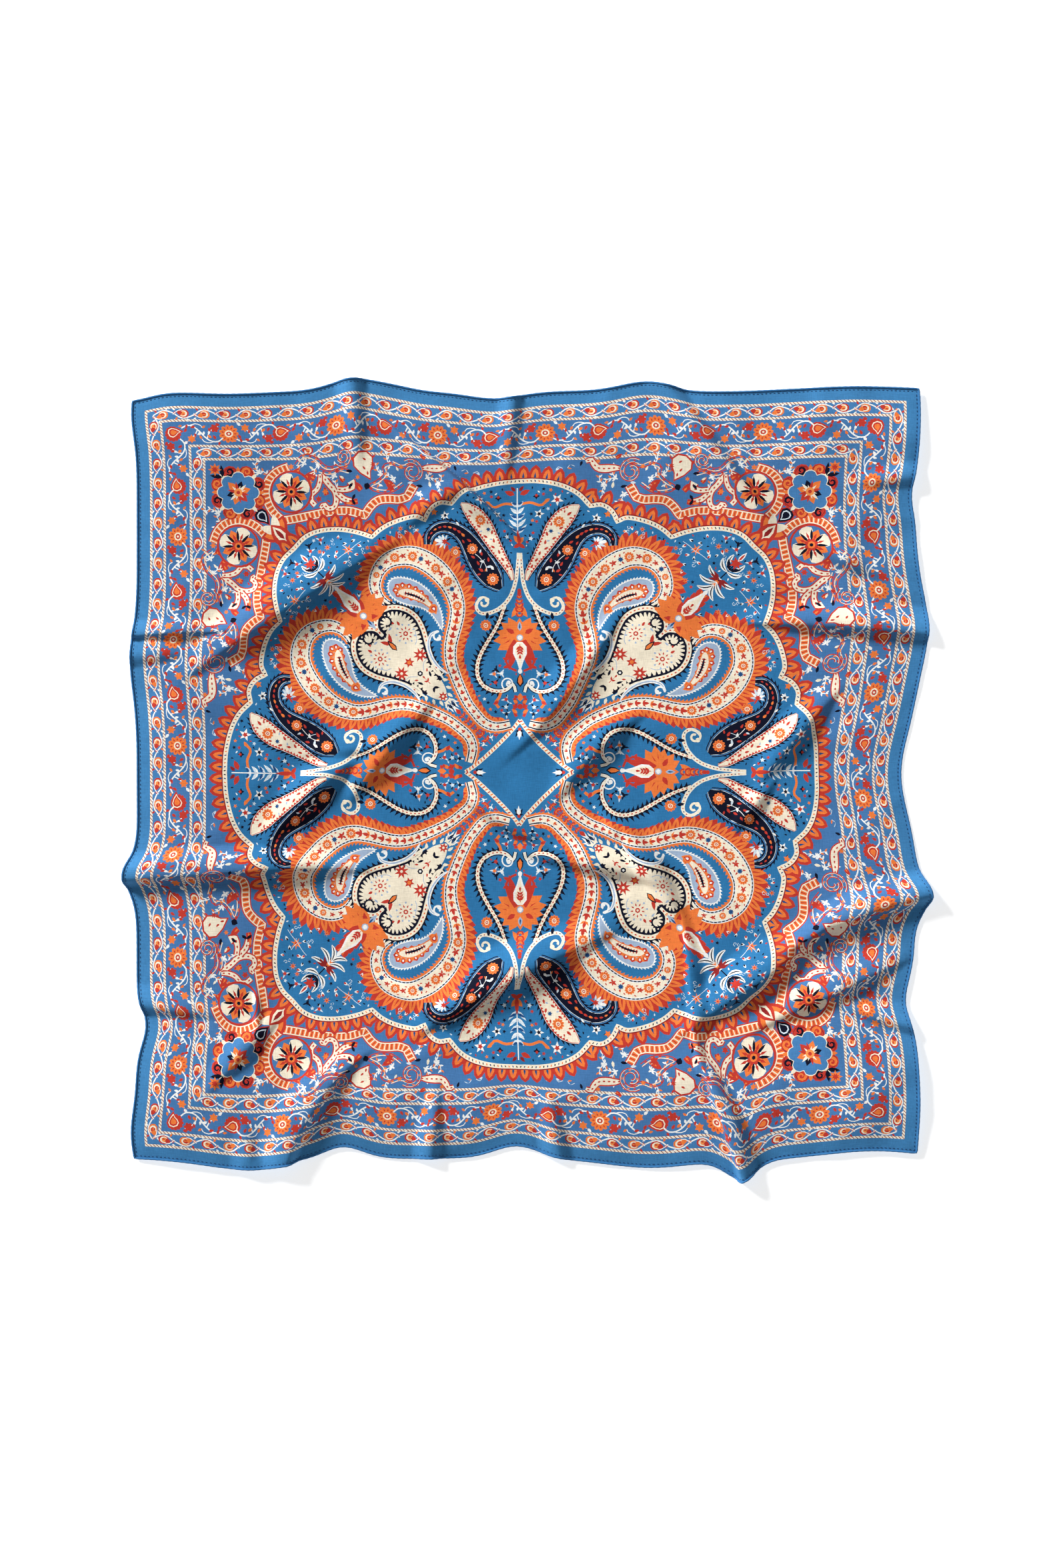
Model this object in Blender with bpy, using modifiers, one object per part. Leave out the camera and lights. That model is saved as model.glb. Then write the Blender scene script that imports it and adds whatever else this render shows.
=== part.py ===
"""Silk square scarf, spread out on a table with its soft folds.

The cloth lies face up on z = 0. It is cut as a 900 mm square with a hand-rolled hem, and its
printed middle carries a few ridges where the silk was not pulled flat. The frame is in metres,
+Z up, with the origin at the bottom centre of the laid scarf and +Y towards its top edge.

A single function, cloth(), takes a point of the flat cut to where it lies on the table. The
silk panel and the rolled hem are both built from it, so they follow the same folds.
"""

import math
from dataclasses import dataclass

import bmesh
import bpy
import numpy as np

OBJECT_NAME = "silk_square_scarf"
MM = 0.001

# Sizes of the cut and of the cloth, in millimetres.
CUT_SIDE = 900.0          # finished square, hem included, before it was laid
CLOTH_WALL = 1.0          # solid wall that stands for the silk
HEM_RADIUS = 1.3          # rolled edge, seen as a thin cord round the square
HEM_SEAM = 0.7            # seam between the panel and the rolled edge
HEM_CORNER = 4.0          # corner rounding of the rolled edge
PANEL_HALF = CUT_SIDE / 2 - 2 * HEM_RADIUS - HEM_SEAM

# How the square lies: where its middle is, and how much of each half the small ripples take up.
MIDDLE = (-8.1, 8.5)
TAKE_UP = {"left": 0.9415, "right": 0.9800, "bottom": 0.9538, "top": 0.9389}
TAKE_UP_BLEND = 40.0
ORIGIN = (-1.26, 0.23)    # brings the middle of the laid scarf's box to the origin

# Grid of the panel.
GRID_LINES = 66           # lines each way
GRID_CROWDING = 9.0       # how strongly the lines crowd towards sharp edge waves
FINEST_FOLD = 12.0        # narrower flanks are widened to this, and lowered in proportion

FOLD_REACH = 95.0         # how far beside a fold the cloth is drawn towards it
END_FADE = 0.5            # share of a fold's length over which a free end dies out
END_NARROW = 0.45         # width of a fold where it dies out, as a share of its full width

SILK_BLUE = (0.045, 0.205, 0.456, 1.0)
HEM_BLUE = (0.025, 0.140, 0.342, 1.0)


@dataclass(frozen=True)
class EdgeWave:
    """A bulge (out > 0) or hollow (out < 0) of one edge, in millimetres."""

    side: str
    at: float
    width: float
    reach: float
    out: float


@dataclass(frozen=True)
class Fold:
    """A ridge of cloth from (x0, y0) to (x1, y1), in millimetres.

    sag bows the crest to its left, rise is its height, and left and right are the widths of
    its two flanks. A free end dies out; an open end runs off the edge at full height.
    """

    name: str
    x0: float
    y0: float
    x1: float
    y1: float
    sag: float
    rise: float
    left: float
    right: float
    free_start: bool = True
    free_end: bool = True


EDGE_WAVES = [
    #        side      at   width reach out
    EdgeWave("left", 418, 30, 120, 6.0),
    EdgeWave("left", 130, 36, 110, 7.5),
    EdgeWave("left", -108, 22, 90, 15.0),
    EdgeWave("left", -275, 20, 70, -9.5),
    EdgeWave("left", -392, 26, 80, 6.0),
    EdgeWave("right", 405, 40, 100, 5.0),
    EdgeWave("right", 314, 18, 60, -5.0),
    EdgeWave("right", 168, 42, 110, 14.0),
    EdgeWave("right", 6, 42, 110, -16.0),
    EdgeWave("right", -132, 20, 80, 18.5),
    EdgeWave("right", -246, 24, 80, -10.5),
    EdgeWave("right", -365, 40, 100, 4.0),
    EdgeWave("top", -440, 26, 70, -11.0),
    EdgeWave("top", -333, 40, 80, -3.5),
    EdgeWave("top", -192, 26, 90, 13.5),
    EdgeWave("top", -146, 22, 80, 5.0),
    EdgeWave("top", -34, 30, 70, -8.0),
    EdgeWave("top", 133, 28, 90, 9.5),
    EdgeWave("top", 370, 60, 110, 5.0),
    EdgeWave("bottom", -308, 50, 110, 11.0),
    EdgeWave("bottom", -200, 20, 80, -12.0),
    EdgeWave("bottom", -12, 24, 80, -13.5),
    EdgeWave("bottom", 142, 50, 100, 10.5),
    EdgeWave("bottom", 234, 20, 80, 25.0),
    EdgeWave("bottom", 385, 50, 100, -8.5),
]

FOLDS = [
    #    name              x0    y0    x1    y1   sag  rise left right
    Fold("upper left", -400, 98, -118, 282, 6, 16.0, 52, 19),
    Fold("upper left end", -150, 268, -62, 330, 4, 5.0, 24, 15),
    Fold("top roll", -196, 424, 34, 222, 7, 10.5, 14, 24),
    Fold("top right", 138, 462, 300, 252, -5, 7.5, 16, 22, False, True),
    Fold("top right end", 296, 274, 402, 222, 0, 6.0, 14, 17),
    Fold("right level", 210, 176, 480, 160, 4, 9.0, 30, 14, True, False),
    Fold("right notch", 350, 330, 480, 340, 0, 4.5, 18, 14, True, False),
    Fold("middle to top", -40, 8, 116, 206, -10, 9.0, 30, 15),
    Fold("right of middle", 22, -34, 142, 84, 9, 9.5, 30, 18),
    Fold("left of middle", -206, -42, -92, 102, 6, 10.5, 32, 18),
    Fold("left short", -262, 30, -140, 40, 3, 5.5, 24, 15),
    Fold("left slope", -298, -72, -168, 42, 4, 10.5, 34, 18),
    Fold("left level", -490, -112, -140, -100, 8, 15.0, 28, 16, False, True),
    Fold("left pleat", -490, 159, -300, 168, 0, 5.5, 18, 13, False, True),
    Fold("below middle", -106, 12, 66, -88, -8, 8.0, 26, 16),
    Fold("below middle two", -30, -78, 164, -122, 7, 9.0, 28, 16),
    Fold("bottom centre", -150, -300, 124, -156, 10, 15.0, 44, 20),
    Fold("right slope", 66, -8, 186, -186, 7, 9.5, 24, 18),
    Fold("right long", 150, -292, 350, -142, -6, 14.0, 40, 18),
    Fold("right bulge", 262, -200, 490, -118, 14, 14.0, 30, 18, True, False),
    Fold("right lower", 232, -292, 446, -190, 4, 10.5, 34, 16),
    Fold("bottom pleat", 170, -128, 190, -362, 3, 6.5, 20, 13),
    Fold("bottom pleat end", 178, -278, 252, -490, 6, 13.0, 24, 15, True, False),
    Fold("bottom left", -276, -490, -158, -288, 32, 12.5, 40, 16, False, True),
    Fold("corner lower left", -362, -356, -262, -252, 5, 7.0, 24, 15),
    Fold("right diagonal", 244, -20, 358, 112, 4, 9.5, 30, 15),
    Fold("right diagonal two", 222, -66, 284, 12, 0, 5.0, 18, 14),
    Fold("lower left rim", -176, -212, -48, -300, 5, 6.5, 22, 17),
    Fold("top flute left", -198, 490, -186, 336, 0, 7.0, 18, 21, False, True),
    Fold("top flute", -12, 490, -22, 318, 0, 5.5, 14, 18, False, True),
    Fold("left flute", -490, 133, -360, 140, 0, 4.5, 20, 14, False, True),
    Fold("left low flute", -490, -238, -330, -262, 0, 7.5, 24, 14, False, True),
    Fold("right low flute", 334, -250, 490, -286, 0, 6.0, 22, 14, True, False),
    Fold("bottom flute left", -298, -490, -318, -368, 0, 5.0, 24, 18, False, True),
    Fold("bottom flute", -114, -490, -98, -320, 0, 6.5, 22, 15, False, True),
    Fold("bottom flute right", 46, -490, 20, -330, 0, 6.5, 22, 18, False, True),
]


def smooth(t):
    """Smooth step from 0 at t <= 0 to 1 at t >= 1."""
    t = np.clip(t, 0.0, 1.0)
    return t * t * (3.0 - 2.0 * t)


def taken_up(u, low, high):
    """Length of a half of the cut after its small ripples took some of it up."""
    bend = np.sqrt(u * u + TAKE_UP_BLEND**2) - TAKE_UP_BLEND
    return u * (high + low) / 2 + bend * (high - low) / 2


def edge_shift(x, y, u, v):
    """Outward shift of the cloth near its edges, as (dx, dy)."""
    half = CUT_SIDE / 2
    places = {
        "left": (half + u, y, (-1, 0)),
        "right": (half - u, y, (1, 0)),
        "bottom": (half + v, x, (0, -1)),
        "top": (half - v, x, (0, 1)),
    }
    dx = np.zeros_like(x)
    dy = np.zeros_like(y)
    for wave in EDGE_WAVES:
        depth, along, outward = places[wave.side]
        near = np.exp(-((along - wave.at) / wave.width) ** 2 / 2)
        amount = wave.out * near * np.exp(-((depth / wave.reach) ** 2))
        dx += outward[0] * amount
        dy += outward[1] * amount
    return dx, dy


def drawn_in(rise, width):
    """Cloth that one flank of a fold uses up beyond its plan width."""
    return width * (math.sqrt(1.0 + 1.22 * (rise / width) ** 2) - 1.0)


def fold_shape(fold, x, y):
    """Height of one fold over (x, y), and how far it draws the cloth towards its crest."""
    length = math.hypot(fold.x1 - fold.x0, fold.y1 - fold.y0)
    cx = (fold.x1 - fold.x0) / length
    cy = (fold.y1 - fold.y0) / length
    along = ((x - fold.x0) * cx + (y - fold.y0) * cy) / length
    inside = np.clip(along, 0.0, 1.0)
    across = (y - fold.y0) * cx - (x - fold.x0) * cy - 4 * fold.sag * inside * (1 - inside)

    strength = np.ones_like(x)
    if fold.free_start:
        strength = strength * smooth(along / END_FADE)
    if fold.free_end:
        strength = strength * smooth((1 - along) / END_FADE)

    rise_scale = min(1.0, min(fold.left, fold.right) / FINEST_FOLD)
    rise = fold.rise * rise_scale
    left = max(fold.left, FINEST_FOLD)
    right = max(fold.right, FINEST_FOLD)
    used = np.where(across > 0, drawn_in(rise, left), drawn_in(rise, right)) * strength
    taper = END_NARROW + (1 - END_NARROW) * strength
    width = np.where(across > 0, left, right) * taper + used
    q = np.abs(across) / width
    height = rise * strength * np.clip(1 - q * q, 0, 1) ** 2
    beyond = (np.abs(across) - width) / FOLD_REACH
    pull = -np.sign(across) * used * smooth(q) * (1 - smooth(beyond))
    return height, -cy * pull, cx * pull


def cloth(u, v):
    """Where the point (u, v) of the flat cut lies, in millimetres.

    Args:
        u, v: arrays of places on the cut, from its middle, in millimetres.

    Returns:
        x, y and the height of the cloth's underside.
    """
    x = MIDDLE[0] + taken_up(u, TAKE_UP["left"], TAKE_UP["right"])
    y = MIDDLE[1] + taken_up(v, TAKE_UP["bottom"], TAKE_UP["top"])
    dx, dy = edge_shift(x, y, u, v)
    x = x + dx
    y = y + dy
    shift_x = np.zeros_like(x)
    shift_y = np.zeros_like(y)
    height = np.zeros_like(x)
    for fold in FOLDS:
        rise, move_x, move_y = fold_shape(fold, x, y)
        height += rise
        shift_x += move_x
        shift_y += move_y
    return x + shift_x + ORIGIN[0], y + shift_y + ORIGIN[1], height


def grid_lines(sides):
    """Places of the grid's lines across one direction, closer where the edges wave sharply."""
    fine = np.linspace(-PANEL_HALF, PANEL_HALF, 1801)
    density = np.ones_like(fine)
    for wave in EDGE_WAVES:
        if wave.side in sides:
            sharpness = abs(wave.out) / wave.width**2
            spread = np.exp(-((fine - wave.at) / (1.6 * wave.width)) ** 2 / 2)
            density += GRID_CROWDING * sharpness * spread
    steps = np.diff(fine) * (density[1:] + density[:-1]) / 2
    total = np.concatenate([[0.0], np.cumsum(steps)])
    return np.interp(np.linspace(0, total[-1], GRID_LINES), total, fine)


def material(name, colour, roughness):
    """A plain Principled finish.

    Args:
        name: name of the material.
        colour: linear base colour with alpha.
        roughness: surface roughness.
    """
    finish = bpy.data.materials.new(name)
    finish.use_nodes = True
    shader = finish.node_tree.nodes["Principled BSDF"]
    shader.inputs["Base Color"].default_value = colour
    shader.inputs["Roughness"].default_value = roughness
    finish.diffuse_color = colour
    return finish


def build_panel(collection, lines_u, lines_v):
    """The printed silk: a grid laid in its folds, with the cloth's wall added upwards."""
    mesh = bpy.data.meshes.new("silk_panel")
    sheet = bmesh.new()
    count = GRID_LINES - 1
    bmesh.ops.create_grid(sheet, x_segments=count, y_segments=count, size=1.0)
    columns = np.array([round((vert.co.x + 1) / 2 * count) for vert in sheet.verts])
    rows = np.array([round((vert.co.y + 1) / 2 * count) for vert in sheet.verts])
    x, y, z = cloth(lines_u[columns], lines_v[rows])
    for vert, place in zip(sheet.verts, zip(x, y, z)):
        vert.co = [value * MM for value in place]
    sheet.to_mesh(mesh)
    sheet.free()
    panel = bpy.data.objects.new("silk_panel", mesh)
    collection.objects.link(panel)
    wall = panel.modifiers.new("wall", "SOLIDIFY")
    wall.thickness = CLOTH_WALL * MM
    wall.offset = 1.0
    wall.use_even_offset = True
    mesh.materials.append(material("printed silk", SILK_BLUE, 0.45))
    return panel


def hem_path(lines_u, lines_v):
    """Centre line of the rolled edge, once round the square, in millimetres."""
    half = PANEL_HALF
    u = np.concatenate([lines_u[:-1], np.full(GRID_LINES - 1, half),
                        lines_u[:0:-1], np.full(GRID_LINES - 1, -half)])
    v = np.concatenate([np.full(GRID_LINES - 1, -half), lines_v[:-1],
                        np.full(GRID_LINES - 1, half), lines_v[:0:-1]])
    places = np.stack(cloth(u, v), axis=1)
    before = places - np.roll(places, 1, axis=0)
    after = np.roll(places, -1, axis=0) - places
    before[:, 2] = 0
    after[:, 2] = 0
    before /= np.linalg.norm(before, axis=1)[:, None]
    after /= np.linalg.norm(after, axis=1)[:, None]
    turned = before + after
    turned /= np.linalg.norm(turned, axis=1)[:, None]
    outward = np.stack([turned[:, 1], -turned[:, 0], np.zeros(len(u))], axis=1)
    mitre = 1.0 / np.maximum(np.sum(turned * after, axis=1), 0.5)
    distance = (HEM_SEAM + HEM_RADIUS) * mitre
    places = places + outward * distance[:, None]
    places[:, 2] += HEM_RADIUS
    return places


def build_hem(collection, lines_u, lines_v):
    """The rolled edge: one thin cord of silk round the panel."""
    path = hem_path(lines_u, lines_v)
    curve = bpy.data.curves.new("rolled_hem", "CURVE")
    curve.dimensions = "3D"
    curve.bevel_depth = HEM_RADIUS * MM
    curve.bevel_resolution = 1
    curve.twist_mode = "Z_UP"
    line = curve.splines.new("POLY")
    line.points.add(len(path) - 1)
    for point, place in zip(line.points, path):
        point.co = (place[0] * MM, place[1] * MM, place[2] * MM, 1.0)
    line.use_cyclic_u = True
    hem = bpy.data.objects.new("rolled_hem", curve)
    collection.objects.link(hem)
    curve.materials.append(material("hem silk", HEM_BLUE, 0.5))
    return hem


def main():
    """Clear the file and build the scarf."""
    for thing in list(bpy.data.objects):
        bpy.data.objects.remove(thing, do_unlink=True)
    collection = bpy.data.collections.new(OBJECT_NAME)
    bpy.context.scene.collection.children.link(collection)
    lines_u = grid_lines(("top", "bottom"))
    lines_v = grid_lines(("left", "right"))
    build_panel(collection, lines_u, lines_v)
    build_hem(collection, lines_u, lines_v)


main()
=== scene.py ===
"""Silk square scarf with a Kashmir-style paisley print, spread out flat on a pale floor.

The print is drawn in the flat cut, as polygons painted over each other, and the cloth's mesh is
made from that drawing: every edge of the print is an edge of the mesh. LaidCloth then takes each
point of the cut to where it lies, so print, weave and hem all follow the same folds.

Drawing coordinates are millimetres from the middle of the cut. x runs outwards and y across, so
one wedge of the print is drawn and then turned, or turned and mirrored, round the middle.
"""

import logging
import math
from collections.abc import Iterator, Sequence
from dataclasses import dataclass, field
from enum import Enum, IntEnum

import bpy
import numpy as np
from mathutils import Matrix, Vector
from mathutils.geometry import delaunay_2d_cdt


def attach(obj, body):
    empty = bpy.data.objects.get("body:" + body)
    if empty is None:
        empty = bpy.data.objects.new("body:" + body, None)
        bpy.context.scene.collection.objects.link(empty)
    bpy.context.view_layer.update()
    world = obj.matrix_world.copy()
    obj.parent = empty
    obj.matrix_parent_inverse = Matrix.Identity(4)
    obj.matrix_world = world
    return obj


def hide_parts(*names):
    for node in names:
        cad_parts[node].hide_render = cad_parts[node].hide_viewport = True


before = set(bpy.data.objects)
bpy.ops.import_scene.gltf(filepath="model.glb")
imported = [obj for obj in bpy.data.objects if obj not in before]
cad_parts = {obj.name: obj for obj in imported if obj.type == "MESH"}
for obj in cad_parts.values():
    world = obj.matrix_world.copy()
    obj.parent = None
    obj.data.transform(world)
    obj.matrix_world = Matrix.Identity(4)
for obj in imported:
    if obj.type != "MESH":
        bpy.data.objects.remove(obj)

log = logging.getLogger("silk_scarf")
logging.basicConfig(level=logging.INFO, format="%(name)s: %(message)s")

MM = 0.001

# ---------------------------------------------------------------------------------------------
# The cloth: how the flat cut lies
# ---------------------------------------------------------------------------------------------

Array = np.ndarray

CUT_SIDE = 900.0
HEM_RADIUS = 1.3
HEM_SEAM = 0.7
PANEL_HALF = CUT_SIDE / 2 - 2 * HEM_RADIUS - HEM_SEAM

FOLD_REACH = 95.0         # how far beyond a fold the cloth is still drawn towards it
END_FADE = 0.5            # share of a fold's length over which a free end dies out
END_NARROW = 0.45         # width that is left where it has died out
FINEST_FOLD = 4.0
FLANK_SLOPE = 1.22        # mean square slope of a flank, for a rise and width of one
TAKE_UP_BLEND = 40.0


class Side(Enum):
    """The edges of the square."""

    LEFT = "left"
    RIGHT = "right"
    BOTTOM = "bottom"
    TOP = "top"


def smooth(t: Array) -> Array:
    """Smooth step from 0 at t <= 0 to 1 at t >= 1."""
    t = np.clip(t, 0.0, 1.0)
    return t * t * (3.0 - 2.0 * t)


def drawn_in(rise: float, width: float) -> float:
    """Cloth that one flank of a fold uses up beyond its plan width."""
    return width * (math.sqrt(1.0 + FLANK_SLOPE * (rise / width) ** 2) - 1.0)


@dataclass(frozen=True)
class EdgeWave:
    """A bulge (out > 0) or hollow (out < 0) of one edge, in millimetres."""

    side: Side
    at: float
    width: float
    reach: float
    out: float


@dataclass(frozen=True)
class Fold:
    """A ridge of cloth from (x0, y0) to (x1, y1), in millimetres.

    sag bows the crest to its left, rise is its height, and left and right are the widths of
    its two flanks. A free end dies out; an open end runs off the edge at full height.
    """

    name: str
    x0: float
    y0: float
    x1: float
    y1: float
    sag: float
    rise: float
    left: float
    right: float
    free_start: bool = True
    free_end: bool = True

    def shape(self, x: Array, y: Array) -> tuple[Array, Array, Array]:
        """Height of the fold over places of the cloth, and how far it draws them in.

        Args:
            x, y: places, in millimetres.

        Returns:
            The height, and the moves in x and y towards the crest.
        """
        length = math.hypot(self.x1 - self.x0, self.y1 - self.y0)
        cx = (self.x1 - self.x0) / length
        cy = (self.y1 - self.y0) / length
        along = ((x - self.x0) * cx + (y - self.y0) * cy) / length
        within = np.clip(along, 0.0, 1.0)
        across = (y - self.y0) * cx - (x - self.x0) * cy - 4 * self.sag * within * (1 - within)

        strength = np.ones_like(x)
        if self.free_start:
            strength = strength * smooth(along / END_FADE)
        if self.free_end:
            strength = strength * smooth((1 - along) / END_FADE)

        rise = self.rise * min(1.0, min(self.left, self.right) / FINEST_FOLD)
        left = max(self.left, FINEST_FOLD)
        right = max(self.right, FINEST_FOLD)
        used = np.where(across > 0, drawn_in(rise, left), drawn_in(rise, right)) * strength
        taper = END_NARROW + (1 - END_NARROW) * strength
        width = np.where(across > 0, left, right) * taper + used
        q = np.abs(across) / width
        height = rise * strength * np.clip(1 - q * q, 0, 1) ** 2
        beyond = (np.abs(across) - width) / FOLD_REACH
        pull = -np.sign(across) * used * smooth(q) * (1 - smooth(beyond))
        return height, -cy * pull, cx * pull


@dataclass(frozen=True)
class Wave:
    """A run of parallel waves: distance apart, direction across in degrees, rise and phase."""

    length: float
    angle: float
    rise: float
    phase: float

    def phase_at(self, x: Array, y: Array, turn: float, drift: Array) -> Array:
        """Phase of the waves at places, where one distance apart is turn radians."""
        a = math.radians(self.angle)
        return (x * math.cos(a) + y * math.sin(a)) * turn / self.length + drift + self.phase

    def ripple(self, x: Array, y: Array) -> Array:
        """Height of soft round waves that come and go in patches."""
        drift = 0.9 * np.sin(x * 0.011 + self.phase * 2) + 0.8 * np.sin(y * 0.013 - self.phase)
        patch = 0.5 + 0.5 * np.sin(x * 0.0091 * math.cos(self.phase) + y * 0.0087 + self.phase * 3)
        return self.rise * patch * (1 + np.sin(self.phase_at(x, y, 2 * math.pi, drift)))

    def crease(self, x: Array, y: Array) -> Array:
        """Height of narrow creases that come and go in patches."""
        drift = (0.8 * np.sin(x * 0.0094 - y * 0.0047 + self.phase * 2)
                 + 0.6 * np.sin(y * 0.0124 + x * 0.0051 - self.phase))
        patch = np.clip(0.35 + 0.75 * np.sin(x * 0.0113 * math.sin(self.phase) - y * 0.0102 + self.phase
                                             * 5), 0, 1)
        across = np.sin(self.phase_at(x, y, math.pi, drift))
        return self.rise * patch * np.exp(-(across / 0.3) ** 2)


@dataclass(frozen=True)
class Swell:
    """A low swell inside one edge, from which the cloth comes down to the floor."""

    side: Side
    rise: float
    crest: float
    reach: float

    def height(self, inward: Array) -> Array:
        """Height at distances inwards from the edge."""
        climb = np.clip(inward / self.crest, 0, 1)
        return self.rise * climb * (2 - climb) * (1 - smooth((inward - self.crest) / self.reach))


RIPPLES = [
    Wave(58.0, 38.0, 0.45, 0.4), Wave(84.0, 142.0, 0.7, 1.9), Wave(47.0, 98.0, 0.28, 3.1),
    Wave(112.0, 12.0, 0.8, 4.4), Wave(70.0, 66.0, 0.5, 5.2), Wave(39.0, 165.0, 0.2, 2.6),
]
CREASES = [
    Wave(96.0, 41.0, 0.85, 0.7), Wave(104.0, 133.0, 0.8, 2.2), Wave(88.0, 84.0, 0.6, 4.0),
    Wave(118.0, 8.0, 0.7, 5.4),
]
SWELLS = [
    Swell(Side.BOTTOM, 9.0, 78.0, 120.0), Swell(Side.LEFT, 6.0, 70.0, 120.0),
    Swell(Side.TOP, 4.0, 62.0, 110.0), Swell(Side.RIGHT, 1.5, 60.0, 110.0),
]

EDGE_WAVES = [
    #        side         at   width reach out
    EdgeWave(Side.LEFT, 418, 30, 120, 6.0),
    EdgeWave(Side.LEFT, 130, 36, 110, 7.5),
    EdgeWave(Side.LEFT, -108, 22, 90, 15.0),
    EdgeWave(Side.LEFT, -275, 20, 70, -9.5),
    EdgeWave(Side.LEFT, -392, 26, 80, 6.0),
    EdgeWave(Side.RIGHT, 405, 40, 100, 5.0),
    EdgeWave(Side.RIGHT, 314, 18, 60, -5.0),
    EdgeWave(Side.RIGHT, 168, 42, 110, 14.0),
    EdgeWave(Side.RIGHT, 6, 42, 110, -16.0),
    EdgeWave(Side.RIGHT, -132, 20, 80, 18.5),
    EdgeWave(Side.RIGHT, -246, 24, 80, -10.5),
    EdgeWave(Side.RIGHT, -365, 40, 100, 4.0),
    EdgeWave(Side.TOP, -440, 26, 70, -11.0),
    EdgeWave(Side.TOP, -333, 40, 80, -3.5),
    EdgeWave(Side.TOP, -192, 26, 90, 13.5),
    EdgeWave(Side.TOP, -146, 22, 80, 5.0),
    EdgeWave(Side.TOP, -34, 30, 70, -8.0),
    EdgeWave(Side.TOP, 133, 28, 90, 9.5),
    EdgeWave(Side.TOP, 370, 60, 110, 5.0),
    EdgeWave(Side.BOTTOM, -308, 50, 110, 11.0),
    EdgeWave(Side.BOTTOM, -200, 20, 80, -12.0),
    EdgeWave(Side.BOTTOM, -12, 24, 80, -13.5),
    EdgeWave(Side.BOTTOM, 142, 50, 100, 10.5),
    EdgeWave(Side.BOTTOM, 234, 20, 80, 25.0),
    EdgeWave(Side.BOTTOM, 385, 50, 100, -8.5),
]

FOLDS = [
    #    name              x0    y0    x1    y1   sag  rise left right
    Fold("upper left", -400, 98, -118, 282, 6, 16.0, 52, 19),
    Fold("upper left end", -150, 268, -62, 330, 4, 5.0, 24, 15),
    Fold("top roll", -196, 424, 34, 222, 7, 10.5, 8, 24),
    Fold("top right", 138, 462, 300, 252, -5, 7.5, 16, 22, False, True),
    Fold("top right end", 296, 274, 402, 222, 0, 6.0, 14, 17),
    Fold("right level", 210, 176, 480, 160, 4, 9.0, 30, 14, True, False),
    Fold("right notch", 350, 330, 480, 340, 0, 4.5, 18, 14, True, False),
    Fold("middle to top", -40, 8, 116, 206, -10, 9.0, 30, 15),
    Fold("right of middle", 22, -34, 142, 84, 9, 9.5, 30, 18),
    Fold("left of middle", -206, -42, -92, 102, 6, 10.5, 32, 18),
    Fold("left short", -262, 30, -140, 40, 3, 5.5, 24, 15),
    Fold("left slope", -298, -72, -168, 42, 4, 10.5, 34, 18),
    Fold("left level", -490, -112, -140, -100, 8, 15.0, 28, 16, False, True),
    Fold("left pleat", -490, 159, -300, 168, 0, 5.5, 18, 7, False, True),
    Fold("below middle", -106, 12, 66, -88, -8, 8.0, 26, 16),
    Fold("below middle two", -30, -78, 164, -122, 7, 9.0, 28, 16),
    Fold("bottom centre", -150, -300, 124, -156, 10, 15.0, 44, 20),
    Fold("right slope", 66, -8, 186, -186, 7, 9.5, 24, 18),
    Fold("right long", 150, -292, 350, -142, -6, 14.0, 40, 18),
    Fold("right bulge", 262, -200, 490, -118, 14, 14.0, 30, 18, True, False),
    Fold("right lower", 232, -292, 446, -190, 4, 10.5, 34, 16),
    Fold("bottom pleat", 170, -128, 190, -362, 3, 6.5, 20, 7),
    Fold("bottom pleat end", 178, -278, 252, -490, 6, 13.0, 24, 8, True, False),
    Fold("bottom left", -276, -490, -158, -288, 32, 12.5, 40, 16, False, True),
    Fold("corner lower left", -362, -356, -262, -252, 5, 7.0, 24, 15),
    Fold("right diagonal", 244, -20, 358, 112, 4, 9.5, 30, 15),
    Fold("right diagonal two", 222, -66, 284, 12, 0, 5.0, 18, 14),
    Fold("lower left rim", -176, -212, -48, -300, 5, 6.5, 22, 17),
    Fold("top flute left", -198, 490, -186, 336, 0, 7.0, 18, 21, False, True),
    Fold("top flute", -12, 490, -22, 318, 0, 5.5, 14, 18, False, True),
    Fold("left flute", -490, 133, -360, 140, 0, 4.5, 20, 14, False, True),
    Fold("left low flute", -490, -238, -330, -262, 0, 7.5, 24, 14, False, True),
    Fold("right low flute", 334, -250, 490, -286, 0, 6.0, 22, 14, True, False),
    Fold("bottom flute left", -298, -490, -318, -368, 0, 5.0, 24, 18, False, True),
    Fold("bottom flute", -114, -490, -98, -320, 0, 6.5, 22, 15, False, True),
    Fold("left small pleat", -301, -226, -299, -292, 0, 4.0, 9, 6),
    Fold("middle crease", 80, -28, 104, -80, 0, 4.0, 12, 6),
    Fold("bottom flute right", 46, -490, 20, -330, 0, 6.5, 22, 18, False, True),
]


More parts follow.
